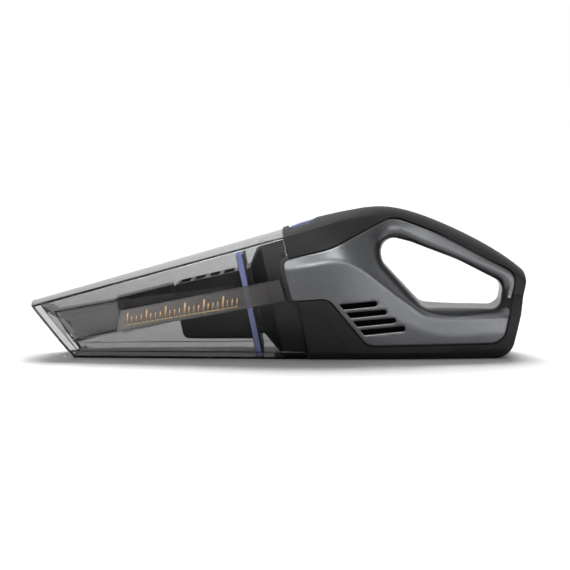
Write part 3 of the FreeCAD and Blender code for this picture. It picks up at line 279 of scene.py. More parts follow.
def width_table():
    """Squared half-width over (x, height share of the crown) and the crown height over x."""
    rows = natural_spline(STATIONS[:, 0], STATIONS[:, 1:], GRID_X)
    table, crowns = [], []
    for floor, skirt, yf, zf, yc, zc, yt, zt, yb, zb, crown in rows:
        rise = crown - zb
        radius = (yb ** 2 + rise ** 2) / (2 * rise)
        angle = math.asin(min(1.0, yb / radius))
        turn = np.linspace(angle, 0, CROWN_POINTS)
        arc = np.stack([radius * np.sin(turn), crown - radius + radius * np.cos(turn)], axis=1)
        side = np.vstack([[(floor, 0), (skirt, SKIRT_Z), (yf, zf), (yc, zc), (yt, zt)], arc])
        other = side[-2::-1] * (-1, 1)
        loop = smooth_loop(np.vstack([side, other]), SECTION_STEP, SECTION_ROUNDING)
        near = loop[loop[:, 0] > 0]
        near = near[np.argsort(near[:, 1])]
        top = loop[:, 1].max()
        heights = GRID_Q * top
        low_edge = near[:, 1] < FLOOR_EDGE
        start = near[low_edge][:, 0].max() if low_edge.any() else floor
        keep = ~low_edge
        zs = np.concatenate([[0.0], near[keep][:, 1], [top]])
        ys = np.concatenate([[start], near[keep][:, 0], [0.0]])
        table.append(np.interp(heights, zs, ys ** 2))
        crowns.append(top)
    return np.array(table), np.array(crowns)


WIDTH_SQUARED, CROWN = width_table()


def crown_height(x):
    """Top of the casing in the symmetry plane."""
    return np.interp(x, GRID_X, CROWN)


def raw_width(x, z):
    """Half-width of the untrimmed casing at (x, z)."""
    x = np.clip(np.asarray(x, float), GRID_X[0], GRID_X[-1])
    q = np.clip(np.asarray(z, float) / crown_height(x), 0.0, 1.0)
    fx = x - GRID_X[0]
    ix = np.clip(fx.astype(int), 0, len(GRID_X) - 2)
    fq = q * (len(GRID_Q) - 1)
    iq = np.clip(fq.astype(int), 0, len(GRID_Q) - 2)
    u, v = fx - ix, fq - iq
    squared = ((1 - u) * (1 - v) * WIDTH_SQUARED[ix, iq] + u * (1 - v) * WIDTH_SQUARED[ix + 1, iq]
               + (1 - u) * v * WIDTH_SQUARED[ix, iq + 1] + u * v * WIDTH_SQUARED[ix + 1, iq + 1])
    return np.sqrt(np.maximum(squared, 0.0))


# --------------------------------------------
# Outlines in the side view
# --------------------------------------------
def grown_corners(corners, amount):
    """Rounded-corner outline moved outwards by amount: every run shifts, every radius follows."""
    count = len(corners)
    area = sum(corners[i - 1][0] * corners[i][1] - corners[i][0] * corners[i - 1][1]
               for i in range(count))
    side = 1 if area > 0 else -1
    runs = []
    for i in range(count):
        (xa, za, _), (xb, zb, _) = corners[i], corners[(i + 1) % count]
        length = math.hypot(xb - xa, zb - za)
        dx, dz = (xb - xa) / length, (zb - za) / length
        runs.append((xa + side * dz * amount, za - side * dx * amount, dx, dz))
    moved = []
    for i, (_, _, radius) in enumerate(corners):
        xa, za, dxa, dza = runs[i - 1]
        xb, zb, dxb, dzb = runs[i]
        turn = dxa * dzb - dza * dxb
        along = ((xb - xa) * dzb - (zb - za) * dxb) / turn
        fillet = radius + amount * (1 if turn * side > 0 else -1) if radius > 0 else 0
        moved.append((xa + dxa * along, za + dza * along, max(fillet, 0)))
    return moved


ARC_STEP = 0.7
ARC_STEPS = (3, 42)


def unit(vector):
    """Vector of length 1 in the same direction."""
    return vector / np.linalg.norm(vector)


def corner_frame(shape, i):
    """Corner i of an outline: its place, the two ways out of it, its half angle and its reach."""
    here = np.array(shape[i][:2])
    back = unit(np.array(shape[i - 1][:2]) - here)
    ahead = unit(np.array(shape[(i + 1) % len(shape)][:2]) - here)
    half = math.acos(np.clip(back @ ahead, -1, 1)) / 2
    return here, back, ahead, half, shape[i][2] / math.tan(half)


def run_ends(frames, i):
    """Start and end of the straight run from corner i to the next."""
    here, _, ahead, _, reach = frames[i]
    after, back, _, _, after_reach = frames[(i + 1) % len(frames)]
    return here + ahead * reach, after + back * after_reach


def outline(corners, grow=0.0, spacing=1.5):
    """Points along a rounded-corner outline grown by an amount. Their count doesn't depend on it."""
    shaped = grown_corners(corners, grow) if grow else corners
    frames = [corner_frame(shaped, i) for i in range(len(shaped))]
    plain_frames = [corner_frame(corners, i) for i in range(len(corners))]
    points = []
    for i, (here, back, ahead, half, reach) in enumerate(frames):
        radius = shaped[i][2]
        if corners[i][2] > 0:
            centre = here + unit(back + ahead) * radius / math.sin(half)
            start = here + back * reach - centre
            sweep = math.pi - 2 * half
            sign = 1 if back[0] * ahead[1] - back[1] * ahead[0] < 0 else -1
            steps = int(np.clip(int(corners[i][2] * sweep / ARC_STEP), *ARC_STEPS))
            for k in range(steps + 1):
                angle = sign * sweep * k / steps
                c, s = math.cos(angle), math.sin(angle)
                points.append(centre + np.array([c * start[0] - s * start[1],
                                                 s * start[0] + c * start[1]]))
        else:
            points.append(here)
        run_start, run_end = run_ends(frames, i)
        plain_start, plain_end = run_ends(plain_frames, i)
        steps = max(1, int(np.linalg.norm(plain_end - plain_start) / spacing))
        points.extend(run_start + (run_end - run_start) * k / steps for k in range(1, steps))
    return np.array(points)


# Corners of the outlines: x, z and the radius of each corner.
PANEL_CORNERS = [
    (1.4, 81.0, 6.0),
    (42.0, 90.6, 70.0),
    (94.3, 116.2, 20.0),
    (130.0, 103.1, 150.0),
    (197.2, 68.2, 12.0),
    (184.0, 11.7, 15.0),
    (71.6, 10.0, 14.0),
    (40.0, 48.8, 10.0),
    (10.2, 46.8, 4.5),
]
GRIP_CORNERS = [
    (83.6, 100.4, 11.0),
    (109.0, 94.0, 60.0),
    (147.0, 79.6, 110.0),
    (185.0, 60.2, 9.5),
    (181.6, 39.9, 9.0),
    (119.4, 41.4, 12.0),
    (84.4, 79.0, 16.0),
]
TAIL_CORNERS = [
    (60.0, -0.001, 0),
    (189.3, -0.001, 17.0),
    (206.4, 69.8, 17.0),
    (172.0, 93.6, 0),
    (150.0, 140.0, 0),
    (60.0, 140.0, 0),
]
TAIL_START, HEEL_START, BASE_TOP = 168.0, 171.0, 0.5
TROUGH = np.array([(8.2, 110.0), (8.4, 105.2), (9.5, 103.9), (12.0, 104.1), (15.5, 105.3),
                   (18.0, 106.4), (26.1, 109.7), (29.5, 111.8), (33.2, 115.5)])


def distance_to(points, path):
    """Distance from each (x, z) point to an open path."""
    best = np.full(len(points), 1e9)
    for a, b in zip(path[:-1], path[1:]):
        run = b - a
        share = np.clip(((points - a) @ run) / max(run @ run, 1e-12), 0, 1)
        best = np.minimum(best, np.hypot(*(points - a - share[:, None] * run).T))
    return best


def distance_to_loop(points, loop):
    """Distance from each (x, z) point to a closed loop."""
    return distance_to(points, np.vstack([loop, loop[:1]]))


def inside(points, loop):
    """Even-odd test of (x, z) points against a closed loop."""
    x, z = points[:, 0], points[:, 1]
    result = np.zeros(len(points), bool)
    for (xa, za), (xb, zb) in zip(loop, np.roll(loop, -1, axis=0)):
        crosses = (za > z) != (zb > z)
        with np.errstate(divide="ignore", invalid="ignore"):
            at = (xb - xa) * (z - za) / (zb - za) + xa
        result ^= crosses & (x < at)
    return result


def tail_path():
    """The handle's back edge and heel, from the base up."""
    loop = outline(TAIL_CORNERS, spacing=4)
    on_base = (loop[:, 1] < BASE_TOP) & (loop[:, 0] < HEEL_START)
    path = loop[(loop[:, 0] > TAIL_START) & ~on_base]
    return path[np.argsort(path[:, 1], kind="stable")]


def rolled(distance, radius):
    """How far a rounded edge of the given radius falls below its face at a distance in."""
    inward = np.clip(radius - distance, 0, radius)
    return radius - np.sqrt(np.maximum(radius ** 2 - inward ** 2, 0))


TAIL_PATH = tail_path()
TAIL_ROUND = 5.0
# The line that cuts off the tail's corners, seen from above: x, half-width there and slope.
TAIL_PLAN = (206.5, 24.0, 32.0 / 20.5)
TAIL_BLEND = 4.0
TROUGH_ROUND = 1.2
# Where the latch trough lies: front x, rear x and lowest z.
TROUGH_REGION = (4, 38, 98)


def casing_width(x, z):
    """Half-width of the finished casing with its tail, heel and latch trough rounded."""
    x, z = np.asarray(x, float), np.asarray(z, float)
    points = np.stack([x, z], axis=1)
    width = raw_width(x, z)
    plan_x, plan_width, plan_slope = TAIL_PLAN
    limit = plan_width + (plan_x - x) * plan_slope
    share = np.clip((width - limit + TAIL_BLEND) / (2 * TAIL_BLEND), 0, 1)
    width = width * (1 - share) + limit * share - TAIL_BLEND * share * (1 - share)
    width = width - np.minimum(rolled(distance_to(points, TAIL_PATH), TAIL_ROUND), width)
    trough_start, trough_end, trough_floor = TROUGH_REGION
    near_trough = (x > trough_start) & (x < trough_end) & (z > trough_floor)
    if near_trough.any():
        drop = rolled(distance_to(points[near_trough], TROUGH), TROUGH_ROUND)
        width[near_trough] = width[near_trough] - np.minimum(drop, width[near_trough])
    return width


# --------------------------------------------
# Mesh helpers
# --------------------------------------------
MERGE_DISTANCE = 0.004 * MM


def new_piece(name, points, faces, slot, body, replaced=(), look=None):
    """Mesh piece from points in millimetres, riding a CAD body in place of CAD nodes.

    look names the material where it isn't the slot's own.
    """
    mesh = bpy.data.meshes.new(name)
    mesh.from_pydata([tuple(float(v) * MM for v in p) for p in points], [], faces)
    mesh.validate()
    piece = bpy.data.objects.new(name, mesh)
    bpy.context.scene.collection.objects.link(piece)
    work = bmesh.new()
    work.from_mesh(mesh)
    bmesh.ops.remove_doubles(work, verts=work.verts, dist=MERGE_DISTANCE)
    bmesh.ops.recalc_face_normals(work, faces=work.faces)
    work.to_mesh(mesh)
    work.free()
    for polygon in mesh.polygons:
        polygon.use_smooth = True
    mesh.materials.append(MATERIALS[look or slot])
    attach(piece, body)
    if replaced:
        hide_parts(*replaced)
    return piece


def sided(name, side):
    """Name of a piece of which there is one on the near side (1) and one on the far side (-1)."""
    return name + ("_near" if side > 0 else "_far")


def grid_faces(rows, count, closed_rows=False, closed_ring=True):
    """Quads between consecutive rows of count points each."""
    faces = []
    last = rows if closed_rows else rows - 1
    around = count if closed_ring else count - 1
    for r in range(last):
        for c in range(around):
            a, b = r * count + c, r * count + (c + 1) % count
            d, e = ((r + 1) % rows) * count + c, ((r + 1) % rows) * count + (c + 1) % count
            faces.append((a, b, e, d))
    return faces


def sharpen(piece, degrees):
    """Marks the edges sharper than an angle, so smooth shading stops there."""
    piece.data.set_sharp_from_angle(angle=math.radians(degrees))


def cut_out(piece, points, faces, name):
    """Subtracts a closed cutter, given in millimetres, from a piece."""
    mesh = bpy.data.meshes.new(name)
    mesh.from_pydata([tuple(float(v) * MM for v in p) for p in points], [], faces)
    work = bmesh.new()
    work.from_mesh(mesh)
    bmesh.ops.recalc_face_normals(work, faces=work.faces)
    work.to_mesh(mesh)
    work.free()
    cutter = bpy.data.objects.new(name, mesh)
    bpy.context.scene.collection.objects.link(cutter)
    step = piece.modifiers.new(name, "BOOLEAN")
    step.operation = "DIFFERENCE"
    step.solver = "EXACT"
    step.object = cutter
    depsgraph = bpy.context.evaluated_depsgraph_get()
    result = bpy.data.meshes.new_from_object(piece.evaluated_get(depsgraph), depsgraph=depsgraph)
    piece.modifiers.remove(step)
    result.name = piece.name
    piece.data = result
    bpy.data.objects.remove(cutter)


def side_prism(loop, low, high):
    """Points and faces of a prism along Y over an (x, z) loop."""
    count = len(loop)
    points = [(x, low, z) for x, z in loop] + [(x, high, z) for x, z in loop]
    faces = [tuple(range(count)), tuple(range(2 * count - 1, count - 1, -1))]
    for i in range(count):
        j = (i + 1) % count
        faces.append((i, j, count + j, count + i))
    return points, faces


# --------------------------------------------
# Dust cup: its rings are sections parallel to the mouth or to the seam
# --------------------------------------------
TILT = math.radians(11.65)
FORWARD = np.array([-math.cos(TILT), 0.0, -math.sin(TILT)])
SEAM_POINT = np.array([SEAM_FOOT, 0.0, 0.0])
MOUTH_TILT = math.radians(39.5)
MOUTH_INWARD = np.array([math.cos(MOUTH_TILT), 0.0, math.sin(MOUTH_TILT)])
MOUTH_POINT = np.array([-204.0, 0.0, 45.0])
CUP_START, CUP_END = -206.0, 26.0


def cup_corners(inset):
    """Corners (y, z) of the cup's end sections, floor first, and each end's crown height."""
    near = [(29.0 - 0.6 * inset, inset), (33.5 - inset, SKIRT_Z + 0.4 * inset),
            (35.5 - inset, 8.5 + 0.3 * inset), (35.0 - inset, 33.6), (32.5 - inset, 41.5 - 0.8 * inset)]
    far = [(45.0 - 0.6 * inset, inset), (50.3 - inset, SKIRT_Z + 0.4 * inset),
           (55.2 - inset, 47.5), (54.0 - inset, 78.2), (48.0 - inset, 105.4 - 0.8 * inset)]
    return near, 44.1 - inset, far, 110.4 - inset


# Fillets of the cup's corners, floor first; they shrink with the inset, down to the least.
FILLETS_NEAR = (1.2, 1.2, 1.2, 2.2, 1.0)
FILLETS_FAR = (1.2, 1.6, 3.0, 4.0, 1.2)
FILLET_LEAST, FILLET_FADE = 0.4, 6
FILLET_STEPS = 6
RUN_STEPS = 5
CROWN_STEPS = 14
CUP_WALL = 2.2
CUP_LIP = 0.7
MOUTH_BEAD, BEAD_ROWS = 1.1, 7
WALL_START = 2.0
WALL_STEPS = 20
NOTCH_GAP, NOTCH_STEP, NOTCH_REACH = 2.0, 6, 80.0
CUP_SHARP = 38


def filleted_half(corners, crown, radii):
    """Half section from the middle of the floor round to the middle of the crown."""
    brow = np.array(corners[-1])
    rise = crown - brow[1]
    big = (brow[0] ** 2 + rise ** 2) / (2 * rise)
    sweep = math.asin(brow[0] / big)
    tangent = np.array([-math.cos(sweep), math.sin(sweep)])
    path = [np.array([0.0, corners[0][1]])] + [np.array(c) for c in corners]
    points = [path[0]]
    last = path[0]
    for i in range(1, len(path)):
        here = path[i]
        back = unit(path[i - 1] - here)
        ahead = tangent if i == len(path) - 1 else unit(path[i + 1] - here)
        half = math.acos(np.clip(back @ ahead, -1, 1)) / 2
        radius = radii[i - 1]
        reach = radius / math.tan(half)
        centre = here + unit(back + ahead) * radius / math.sin(half)
        start, end = here + back * reach, here + ahead * reach
        for k in range(1, RUN_STEPS + 1):
            points.append(last + (start - last) * k / RUN_STEPS)
        a0 = math.atan2(*(start - centre)[::-1])
        a1 = math.atan2(*(end - centre)[::-1])
        turn = (a1 - a0 + math.pi) % (2 * math.pi) - math.pi
        for k in range(1, FILLET_STEPS + 1):
            angle = a0 + turn * k / FILLET_STEPS
            points.append(centre + radius * np.array([math.cos(angle), math.sin(angle)]))
        last = points[-1]
    top = np.array([0.0, crown - big])
    start_angle = math.atan2(last[0], last[1] - top[1])
    for k in range(1, CROWN_STEPS + 1):
        angle = start_angle * (1 - k / CROWN_STEPS)
        points.append(top + big * np.array([math.sin(angle), math.cos(angle)]))
    return np.array(points)


def cup_rails(inset):
    """Rails of the whole section as two (n, 3) arrays, at the nozzle end and the casing end."""
    near, near_crown, far, far_crown = cup_corners(inset)
    shrink = max(0.0, 1 - inset / FILLET_FADE)
    ends = []
    for corners, crown, radii, x in ((near, near_crown, FILLETS_NEAR, CUP_START),
                                     (far, far_crown, FILLETS_FAR, CUP_END)):
        half = filleted_half(corners, crown, [max(FILLET_LEAST, r * shrink) for r in radii])
        ring = np.vstack([half, half[-2:0:-1] * (-1, 1)])
        ends.append(np.column_stack([np.full(len(ring), x), ring]))
    return ends


def cup_ring(plane, depth, inset):
    """Cup section moved in by inset, on the mouth plane or the seam plane moved in by depth."""
    near, far = cup_rails(inset)
    point, normal = (MOUTH_POINT, MOUTH_INWARD) if plane == "mouth" else (SEAM_POINT, FORWARD)
    base = point + normal * depth
    run = far - near
    share = ((base - near) @ normal) / (run @ normal)
    return near + run * share[:, None]


def cup_wall_rows(inset):
    """Rows of the cup's wall, from the mouth to the seam."""
    mouth_end, seam_end = cup_ring("mouth", WALL_START, inset), cup_ring("seam", WALL_START, inset)
    return [mouth_end + (seam_end - mouth_end) * k / WALL_STEPS for k in range(WALL_STEPS + 1)]


def cup_piece():
    """The clear dust cup with rounded lips, cut out for the panels' tongues."""
    edge = [(0.0, CUP_LIP), (0.12, CUP_LIP * 0.45), (0.35, CUP_LIP * 0.13), (CUP_LIP, 0.0)]
    bead = [(MOUTH_BEAD * (1 - math.sin(a)), MOUTH_BEAD * (1 - math.cos(a)))
            for a in np.linspace(math.pi / 2, 0, BEAD_ROWS)]
    rows = [cup_ring("mouth", depth, inset) for depth, inset in bead]
    rows += cup_wall_rows(0.0)
    rows += [cup_ring("seam", depth, inset) for depth, inset in reversed(edge)]
    rows += [cup_ring("seam", depth, CUP_WALL - inset) for depth, inset in edge]
    rows += reversed(cup_wall_rows(CUP_WALL))
    rows += [cup_ring("mouth", depth, CUP_WALL - inset) for depth, inset in reversed(bead)]
    piece = new_piece("dust_cup_clear", np.vstack(rows),
                      grid_faces(len(rows), len(rows[0]), closed_rows=True),
                      "clear_smoke", "cup", ["dust_cup"])
    notch = outline(PANEL_CORNERS, NOTCH_GAP, spacing=NOTCH_STEP)
    cut_out(piece, *side_prism(notch, -NOTCH_REACH, NOTCH_REACH), "tongue_notch")
    sharpen(piece, CUP_SHARP)


SEAL_START, SEAL_END = 36.9, 41.1
SEAL_OUTER, SEAL_INNER = 2.62, 5.5
SEAL_STEPS = 16
SEAL_RELIEF = 0.45
LIP_SWELL, EDGE_SWELL = 0.55, 0.3
SEAL_CHAMFER = (0.3, 0.4)


def seal_piece():
    """Translucent seal along the seam: a soft band with two raised lips round its outside."""
    profile = []
    for k in range(SEAL_STEPS + 1):
        share = k / SEAL_STEPS
        on_lips = 2 <= k <= SEAL_STEPS - 2
        swell = LIP_SWELL * math.cos(4 * math.pi * (share - 0.25)) if on_lips else EDGE_SWELL
        profile.append((SEAL_START + (SEAL_END - SEAL_START) * share,
                        SEAL_OUTER + SEAL_RELIEF * (1 - swell)))
    along, deep = SEAL_CHAMFER
    profile += [(SEAL_END, SEAL_INNER - deep), (SEAL_END - along, SEAL_INNER),
                (SEAL_START + along, SEAL_INNER), (SEAL_START, SEAL_INNER - deep)]
    rows = [cup_ring("seam", forward, inset) for forward, inset in profile]
    new_piece("seal_ring_soft", np.vstack(rows),
              grid_faces(len(rows), len(rows[0]), closed_rows=True),
              "seal_blue", "filter", ["seal_ring"])


# --------------------------------------------
# Side panels
# --------------------------------------------
REVEAL = 0.9
GRIP_ROUND = 8.5
GRIP_ROUND_TOP = 11.0
GRIP_SHARE = 0.85
ARM_ROUND = 18.0
ARM_SLOPE = 0.22
ARM_GRIP_ROUND = 6.0
LIP_ROUND = 0.7
VENT_ROUND = 0.5
PANEL_SHARP = 50
# Where the panel's form changes towards the handle's arm: start and length, over z or x.
HIGH_BLEND = (55, 30)
ARM_BLEND = (78, 22)
ARM_GRIP_BLEND = (95, 25)

# Rings of points round the panel's edge and openings: distance and drop (no drop at the grip).
FACE_STEP, GRID_STEP, FACE_GAP = 1.6, 1.9, 1e-5
LIP_RINGS = [(0.0, LIP_ROUND), (0.12, 0.36), (0.35, 0.12), (0.7, 0.0), (1.6, 0.0), (3.0, 0.0)]
VENT_RINGS = [(0.0, VENT_ROUND), (0.15, 0.2), (0.5, 0.0)]
GRIP_RINGS = (0.0, 0.25, 0.7, 1.4, 2.3, 3.4, 4.6, 5.8, 7.0, 8.4)
WHOLE_RINGS = 3.0
RING_MARGIN = 3.4
GRID_MARGIN, GRIP_MARGIN, VENT_MARGIN = 3.9, 9.4, 1.5

# Steps of the walls behind the panel's rims: share of the rim's y, then shift.
RIM_WALL = [(1, 0.6), (1, 2.2)]
VENT_WALL = [(1, 0.6), (1, 2.0)]
GRIP_WALL = [(0.97, 0), (0.8, 0), (0.5, 0), (0.2, 0), (0, -0.1)]

VENT_COUNT = 4
# Front x, back x and top z of the first vent, and the step from each vent to the next.
VENT_FIRST = np.array([49.3, 79.9, 45.2])
VENT_STEP = np.array([5.63, 7.6, -7.0])
VENT_HEIGHT = 4.1
VENT_SLANT = 3.5
VENT_RISE = 0.087
VENT_FRONT_RADIUS, VENT_BACK_RADIUS = 0.4, 1.95


def vent_corners(k):
    """Corners of vent k, counted from the top."""
    front, back, top = VENT_FIRST + VENT_STEP * k
    end = top + VENT_RISE * (back - front)
    return [(front, top, VENT_FRONT_RADIUS),
            (front + VENT_SLANT, top - VENT_HEIGHT, VENT_FRONT_RADIUS),
            (back, end - VENT_HEIGHT, VENT_BACK_RADIUS), (back, end, VENT_BACK_RADIUS)]


def panel_outline(depth):
    """The panel's outline moved in from its edge."""
    return outline(PANEL_CORNERS, -REVEAL - depth, spacing=FACE_STEP)


def grip_outline(reach):
    """The handle opening's outline moved out into the panel."""
    return outline(GRIP_CORNERS, reach, spacing=FACE_STEP)


def vent_outlines(reach):
    """The vents' outlines moved out into the panel."""
    return [outline(vent_corners(k), reach, spacing=FACE_STEP) for k in range(VENT_COUNT)]


def panel_grid():
    """Grid of points that fills the panel's face between its rings."""
    edge = panel_outline(0.0)
    low, high = edge.min(axis=0), edge.max(axis=0)
    x, z = np.meshgrid(np.arange(low[0], high[0], GRID_STEP), np.arange(low[1], high[1], GRID_STEP))
    x[1::2] += GRID_STEP / 2
    grid = np.stack([x.ravel(), z.ravel()], axis=1)
    free = inside(grid, panel_outline(GRID_MARGIN)) & ~inside(grid, grip_outline(GRIP_MARGIN))
    for vent in vent_outlines(VENT_MARGIN):
        free &= ~inside(grid, vent)
    return grid[free]


def panel_face():
    """Points (x, z), drops and triangles of the near panel's face, and the points of its rims."""
    points, drops, edges = [], [], []

    def add_ring(loop, drop, keep):
        """Adds the kept points of a closed loop and the edges between them; returns the points."""
        numbers = {}
        for i, place in enumerate(loop):
            if keep[i]:
                numbers[i] = len(points)
                points.append(place)
                drops.append(drop)
        for i in range(len(loop)):
            j = (i + 1) % len(loop)
            if i in numbers and j in numbers:
                edges.append((numbers[i], numbers[j]))
        return list(numbers.values())

    def add_rings(loops, rings):
        """Adds whole loops, each with the drop of its ring; returns the points of the first."""
        return [add_ring(loop, ring[1], [True] * len(loop)) for loop, ring in zip(loops, rings)][0]

    rims = [add_rings([panel_outline(depth) for depth, _ in LIP_RINGS], LIP_RINGS)]
    whole = [reach for reach in GRIP_RINGS if reach < WHOLE_RINGS]
    rims.append(add_rings([grip_outline(reach) for reach in whole], [(reach, 0.0) for reach in whole]))
    for reach in GRIP_RINGS[len(whole):]:
        loop = grip_outline(reach)
        add_ring(loop, 0.0, inside(loop, panel_outline(RING_MARGIN)))
    for vent in zip(*(vent_outlines(depth) for depth, _ in VENT_RINGS)):
        rims.append(add_rings(vent, VENT_RINGS))
    grid = panel_grid()
    points.extend(grid)
    drops.extend([0.0] * len(grid))

    flat, _, triangles, sources, _, _ = delaunay_2d_cdt(
        [Vector((float(x), float(z))) for x, z in points], edges, [], 0, FACE_GAP)
    flat = np.array([(place.x, place.y) for place in flat])
    flat_drops = np.array([drops[source[0]] if source else 0.0 for source in sources])
    centres = np.array([flat[list(triangle)].mean(axis=0) for triangle in triangles])
    solid = inside(centres, panel_outline(0.0)) & ~inside(centres, grip_outline(0.0))
    for vent in vent_outlines(0.0):
        solid &= ~inside(centres, vent)
    faces = [tuple(reversed(triangle)) for triangle, good in zip(triangles, solid) if good]
    where = {number: i for i, source in enumerate(sources) for number in source}
    return flat, flat_drops, faces, [[where[number] for number in rim] for rim in rims]


def smooth_share(value, start, length):
    """Smooth step from 0 at start to 1 a length further on."""
    share = np.clip((value - start) / length, 0, 1)
    return share * share * (3 - 2 * share)


def panel_width(flat, drops):
    """Half-width of the panel's face: the casing's, less its rolled edges and its sloping arm."""
    x, z = flat.T
    high = smooth_share(z, *HIGH_BLEND)
    radius = GRIP_ROUND + (GRIP_ROUND_TOP - GRIP_ROUND) * high
    radius = radius + (ARM_GRIP_ROUND - radius) * smooth_share(x, *ARM_GRIP_BLEND) * high
    roll = rolled(distance_to_loop(flat, grip_outline(0.0)), radius) * GRIP_SHARE
    to_edge = distance_to_loop(flat, panel_outline(0.0))
    slope = ARM_SLOPE * np.maximum(ARM_ROUND - to_edge, 0) ** 2 / (2 * ARM_ROUND)
    return casing_width(x, z) - drops - roll - smooth_share(x, *ARM_BLEND) * high * slope


def panel_piece(side):
    """Grey side panel: crowned face, rolled edges and the lining of the handle opening."""
    flat, drops, faces, (edge, grip, *vents) = panel_face()
    points = [(x, -width, z) for (x, z), width in zip(flat, panel_width(flat, drops))]

    def wall(rim, steps):
        """Wall from a rim towards the middle."""
        previous = rim
        for share, shift in steps:
            current = []
            for i in rim:
                x, y, z = points[i]
                current.append(len(points))
                points.append((x, y * share + shift, z))
            for i in range(len(rim)):
                j = (i + 1) % len(rim)
                faces.append((previous[i], previous[j], current[j], current[i]))
            previous = current

    wall(edge, RIM_WALL)
    for vent in vents:
        wall(vent, VENT_WALL)
    wall(grip, GRIP_WALL)
    node = "side_panel_left" if side > 0 else "side_panel_right"
    piece = new_piece(sided("side_panel", side), [(x, y * side, z) for x, y, z in points], faces,
                      "gunmetal_plastic", "housing", [node])
    sharpen(piece, PANEL_SHARP)


# --------------------------------------------
# Band on the cup: a print whose light colour is partly a painted reflection
# --------------------------------------------
# Lower rail and crease of the cup's flank: (half-width, z) at the nozzle end and the casing end.
FLANK_LOW = np.array([(35.5, 8.5), (55.2, 47.5)])
FLANK_HIGH = np.array([(35.0, 33.6), (54.0, 78.2)])
# Heights on the flank are shares of the way from its lower rail to its crease.
BAND_START, BAND_END = -131.5, 6.6
BAND_FRONT_LEAN, BAND_REAR_LEAN = 3.0, 5.6
BAND_FOOT, BAND_RISE, BAND_HEIGHT = 0.045, 0.075, 0.62
BAND_COLUMNS, BAND_ROWS = 40, 8
BAND_FLOAT, BAND_FILM = 0.12, 0.08
TICKS, LONG_EVERY = 24, 4
TICK_START, TICK_PITCH, TICK_LEAN = -124.0, 3.9, 2.2
TICK_FOOT = 0.25
LONG_TOP, LONG_WIDTH = 0.56, 1.5
SHORT_TOP, SHORT_WIDTH = 0.43, 1.0
LINE_LOW, LINE_HIGH = 0.185, 0.208
LINE_PARTS, LINE_OVERLAP = 24, 0.02
GAUGE_FLOAT, GAUGE_INK = 0.26, 0.05


def flank_point(x, share, lift):
    """Point on the cup's near flank between its lower rail (share 0) and its crease (share 1)."""
    along = (x - CUP_START) / (CUP_END - CUP_START)
    low = FLANK_LOW[0] + (FLANK_LOW[1] - FLANK_LOW[0]) * along
    high = FLANK_HIGH[0] + (FLANK_HIGH[1] - FLANK_HIGH[0]) * along
    half, z = low + (high - low) * share
    return (x, -half - lift, z)


def printed_piece(name, side, points, faces, slot, look, thickness):
    """Printed film on the cup's near flank or, mirrored, on the far one; the band's film also carries a
    painted reflection.
    """
    mirrored = [(x, y * side, z) for x, y, z in points]
    piece = new_piece(sided(name, side), mirrored, faces, slot, "cup", look=look)
    film = piece.modifiers.new("film", "SOLIDIFY")
    film.thickness = thickness * MM


def band_piece(side):
    """Smoke-grey print on the flank of the cup, with slanted ends; its light colour is partly a painted
    reflection of a softbox, bright at the nozzle end.
    """
    points = []
    for r in range(BAND_ROWS + 1):
        up = r / BAND_ROWS
        front, rear = BAND_START + BAND_FRONT_LEAN * up, BAND_END - BAND_REAR_LEAN * up
        for c in range(BAND_COLUMNS + 1):
            along = c / BAND_COLUMNS
            share = BAND_FOOT + BAND_RISE * along + BAND_HEIGHT * up
            points.append(flank_point(front + (rear - front) * along, share, BAND_FLOAT))
    faces = grid_faces(BAND_ROWS + 1, BAND_COLUMNS + 1, closed_ring=False)
    printed_piece("cup_band", side, points, faces, "dark_smoke", "band_print_and_painted_reflection", BAND_FILM)


def gauge_piece(side):
    """Gold fill marks: a row of slanted ticks, every fourth one long, over a thin line."""
    points, faces = [], []

    def bar(x, low, high, width, lean):
        """Adds one slanted bar."""
        start = len(points)
        for share in (low, high):
            shift = lean * (share - low)
            points.append(flank_point(x + shift, share, GAUGE_FLOAT))
            points.append(flank_point(x + width + shift, share, GAUGE_FLOAT))
        faces.append((start, start + 1, start + 3, start + 2))

    for k in range(TICKS):
        top, width = (SHORT_TOP, SHORT_WIDTH) if k % LONG_EVERY else (LONG_TOP, LONG_WIDTH)
        bar(TICK_START + TICK_PITCH * k, TICK_FOOT, top, width, TICK_LEAN)
    part = (TICK_PITCH * (TICKS - 1) + LONG_WIDTH) / LINE_PARTS
    for k in range(LINE_PARTS):
        bar(TICK_START + part * k, LINE_LOW, LINE_HIGH, part + LINE_OVERLAP, 0.0)
    printed_piece("gold_gauge", side, points, faces, "brass_tab", "gold_print", GAUGE_INK)


# --------------------------------------------
# Dark beads that outline the cup: painted shade along its creases and mouth edge
# --------------------------------------------
RIM_POINTS = 14
RIM_CENTRE = (0.75, 0.95)
RIM_RADII = (1.05, 1.15)
# Half-width and z of each edge's bead at the nozzle end and at the casing end, and its radius.
BEADS = {
    "brow_bead": ((32.3, 41.4), (47.7, 105.2), 0.62),
    "skirt_bead": ((33.3, 5.9), (50.1, 6.1), 0.55),
}
BEAD_POINTS, BEAD_STEPS = 10, 24
BEAD_MOUTH_GAP, BEAD_SEAM_GAP = 0.6, 0.4
BEAD_TIP = 0.35


def mouth_rim_piece():
    """Darker rounded bead round the edge of the nozzle's mouth: painted shade for the dark line at that
    edge.
    """
    rows = []
    for k in range(RIM_POINTS):
        angle = 2 * math.pi * k / RIM_POINTS
        rows.append(cup_ring("mouth", RIM_CENTRE[0] + RIM_RADII[0] * math.cos(angle),
                             RIM_CENTRE[1] + RIM_RADII[1] * math.sin(angle)))
    new_piece("mouth_rim", np.vstack(rows),
              grid_faces(len(rows), len(rows[0]), closed_rows=True), "dark_smoke", "cup")


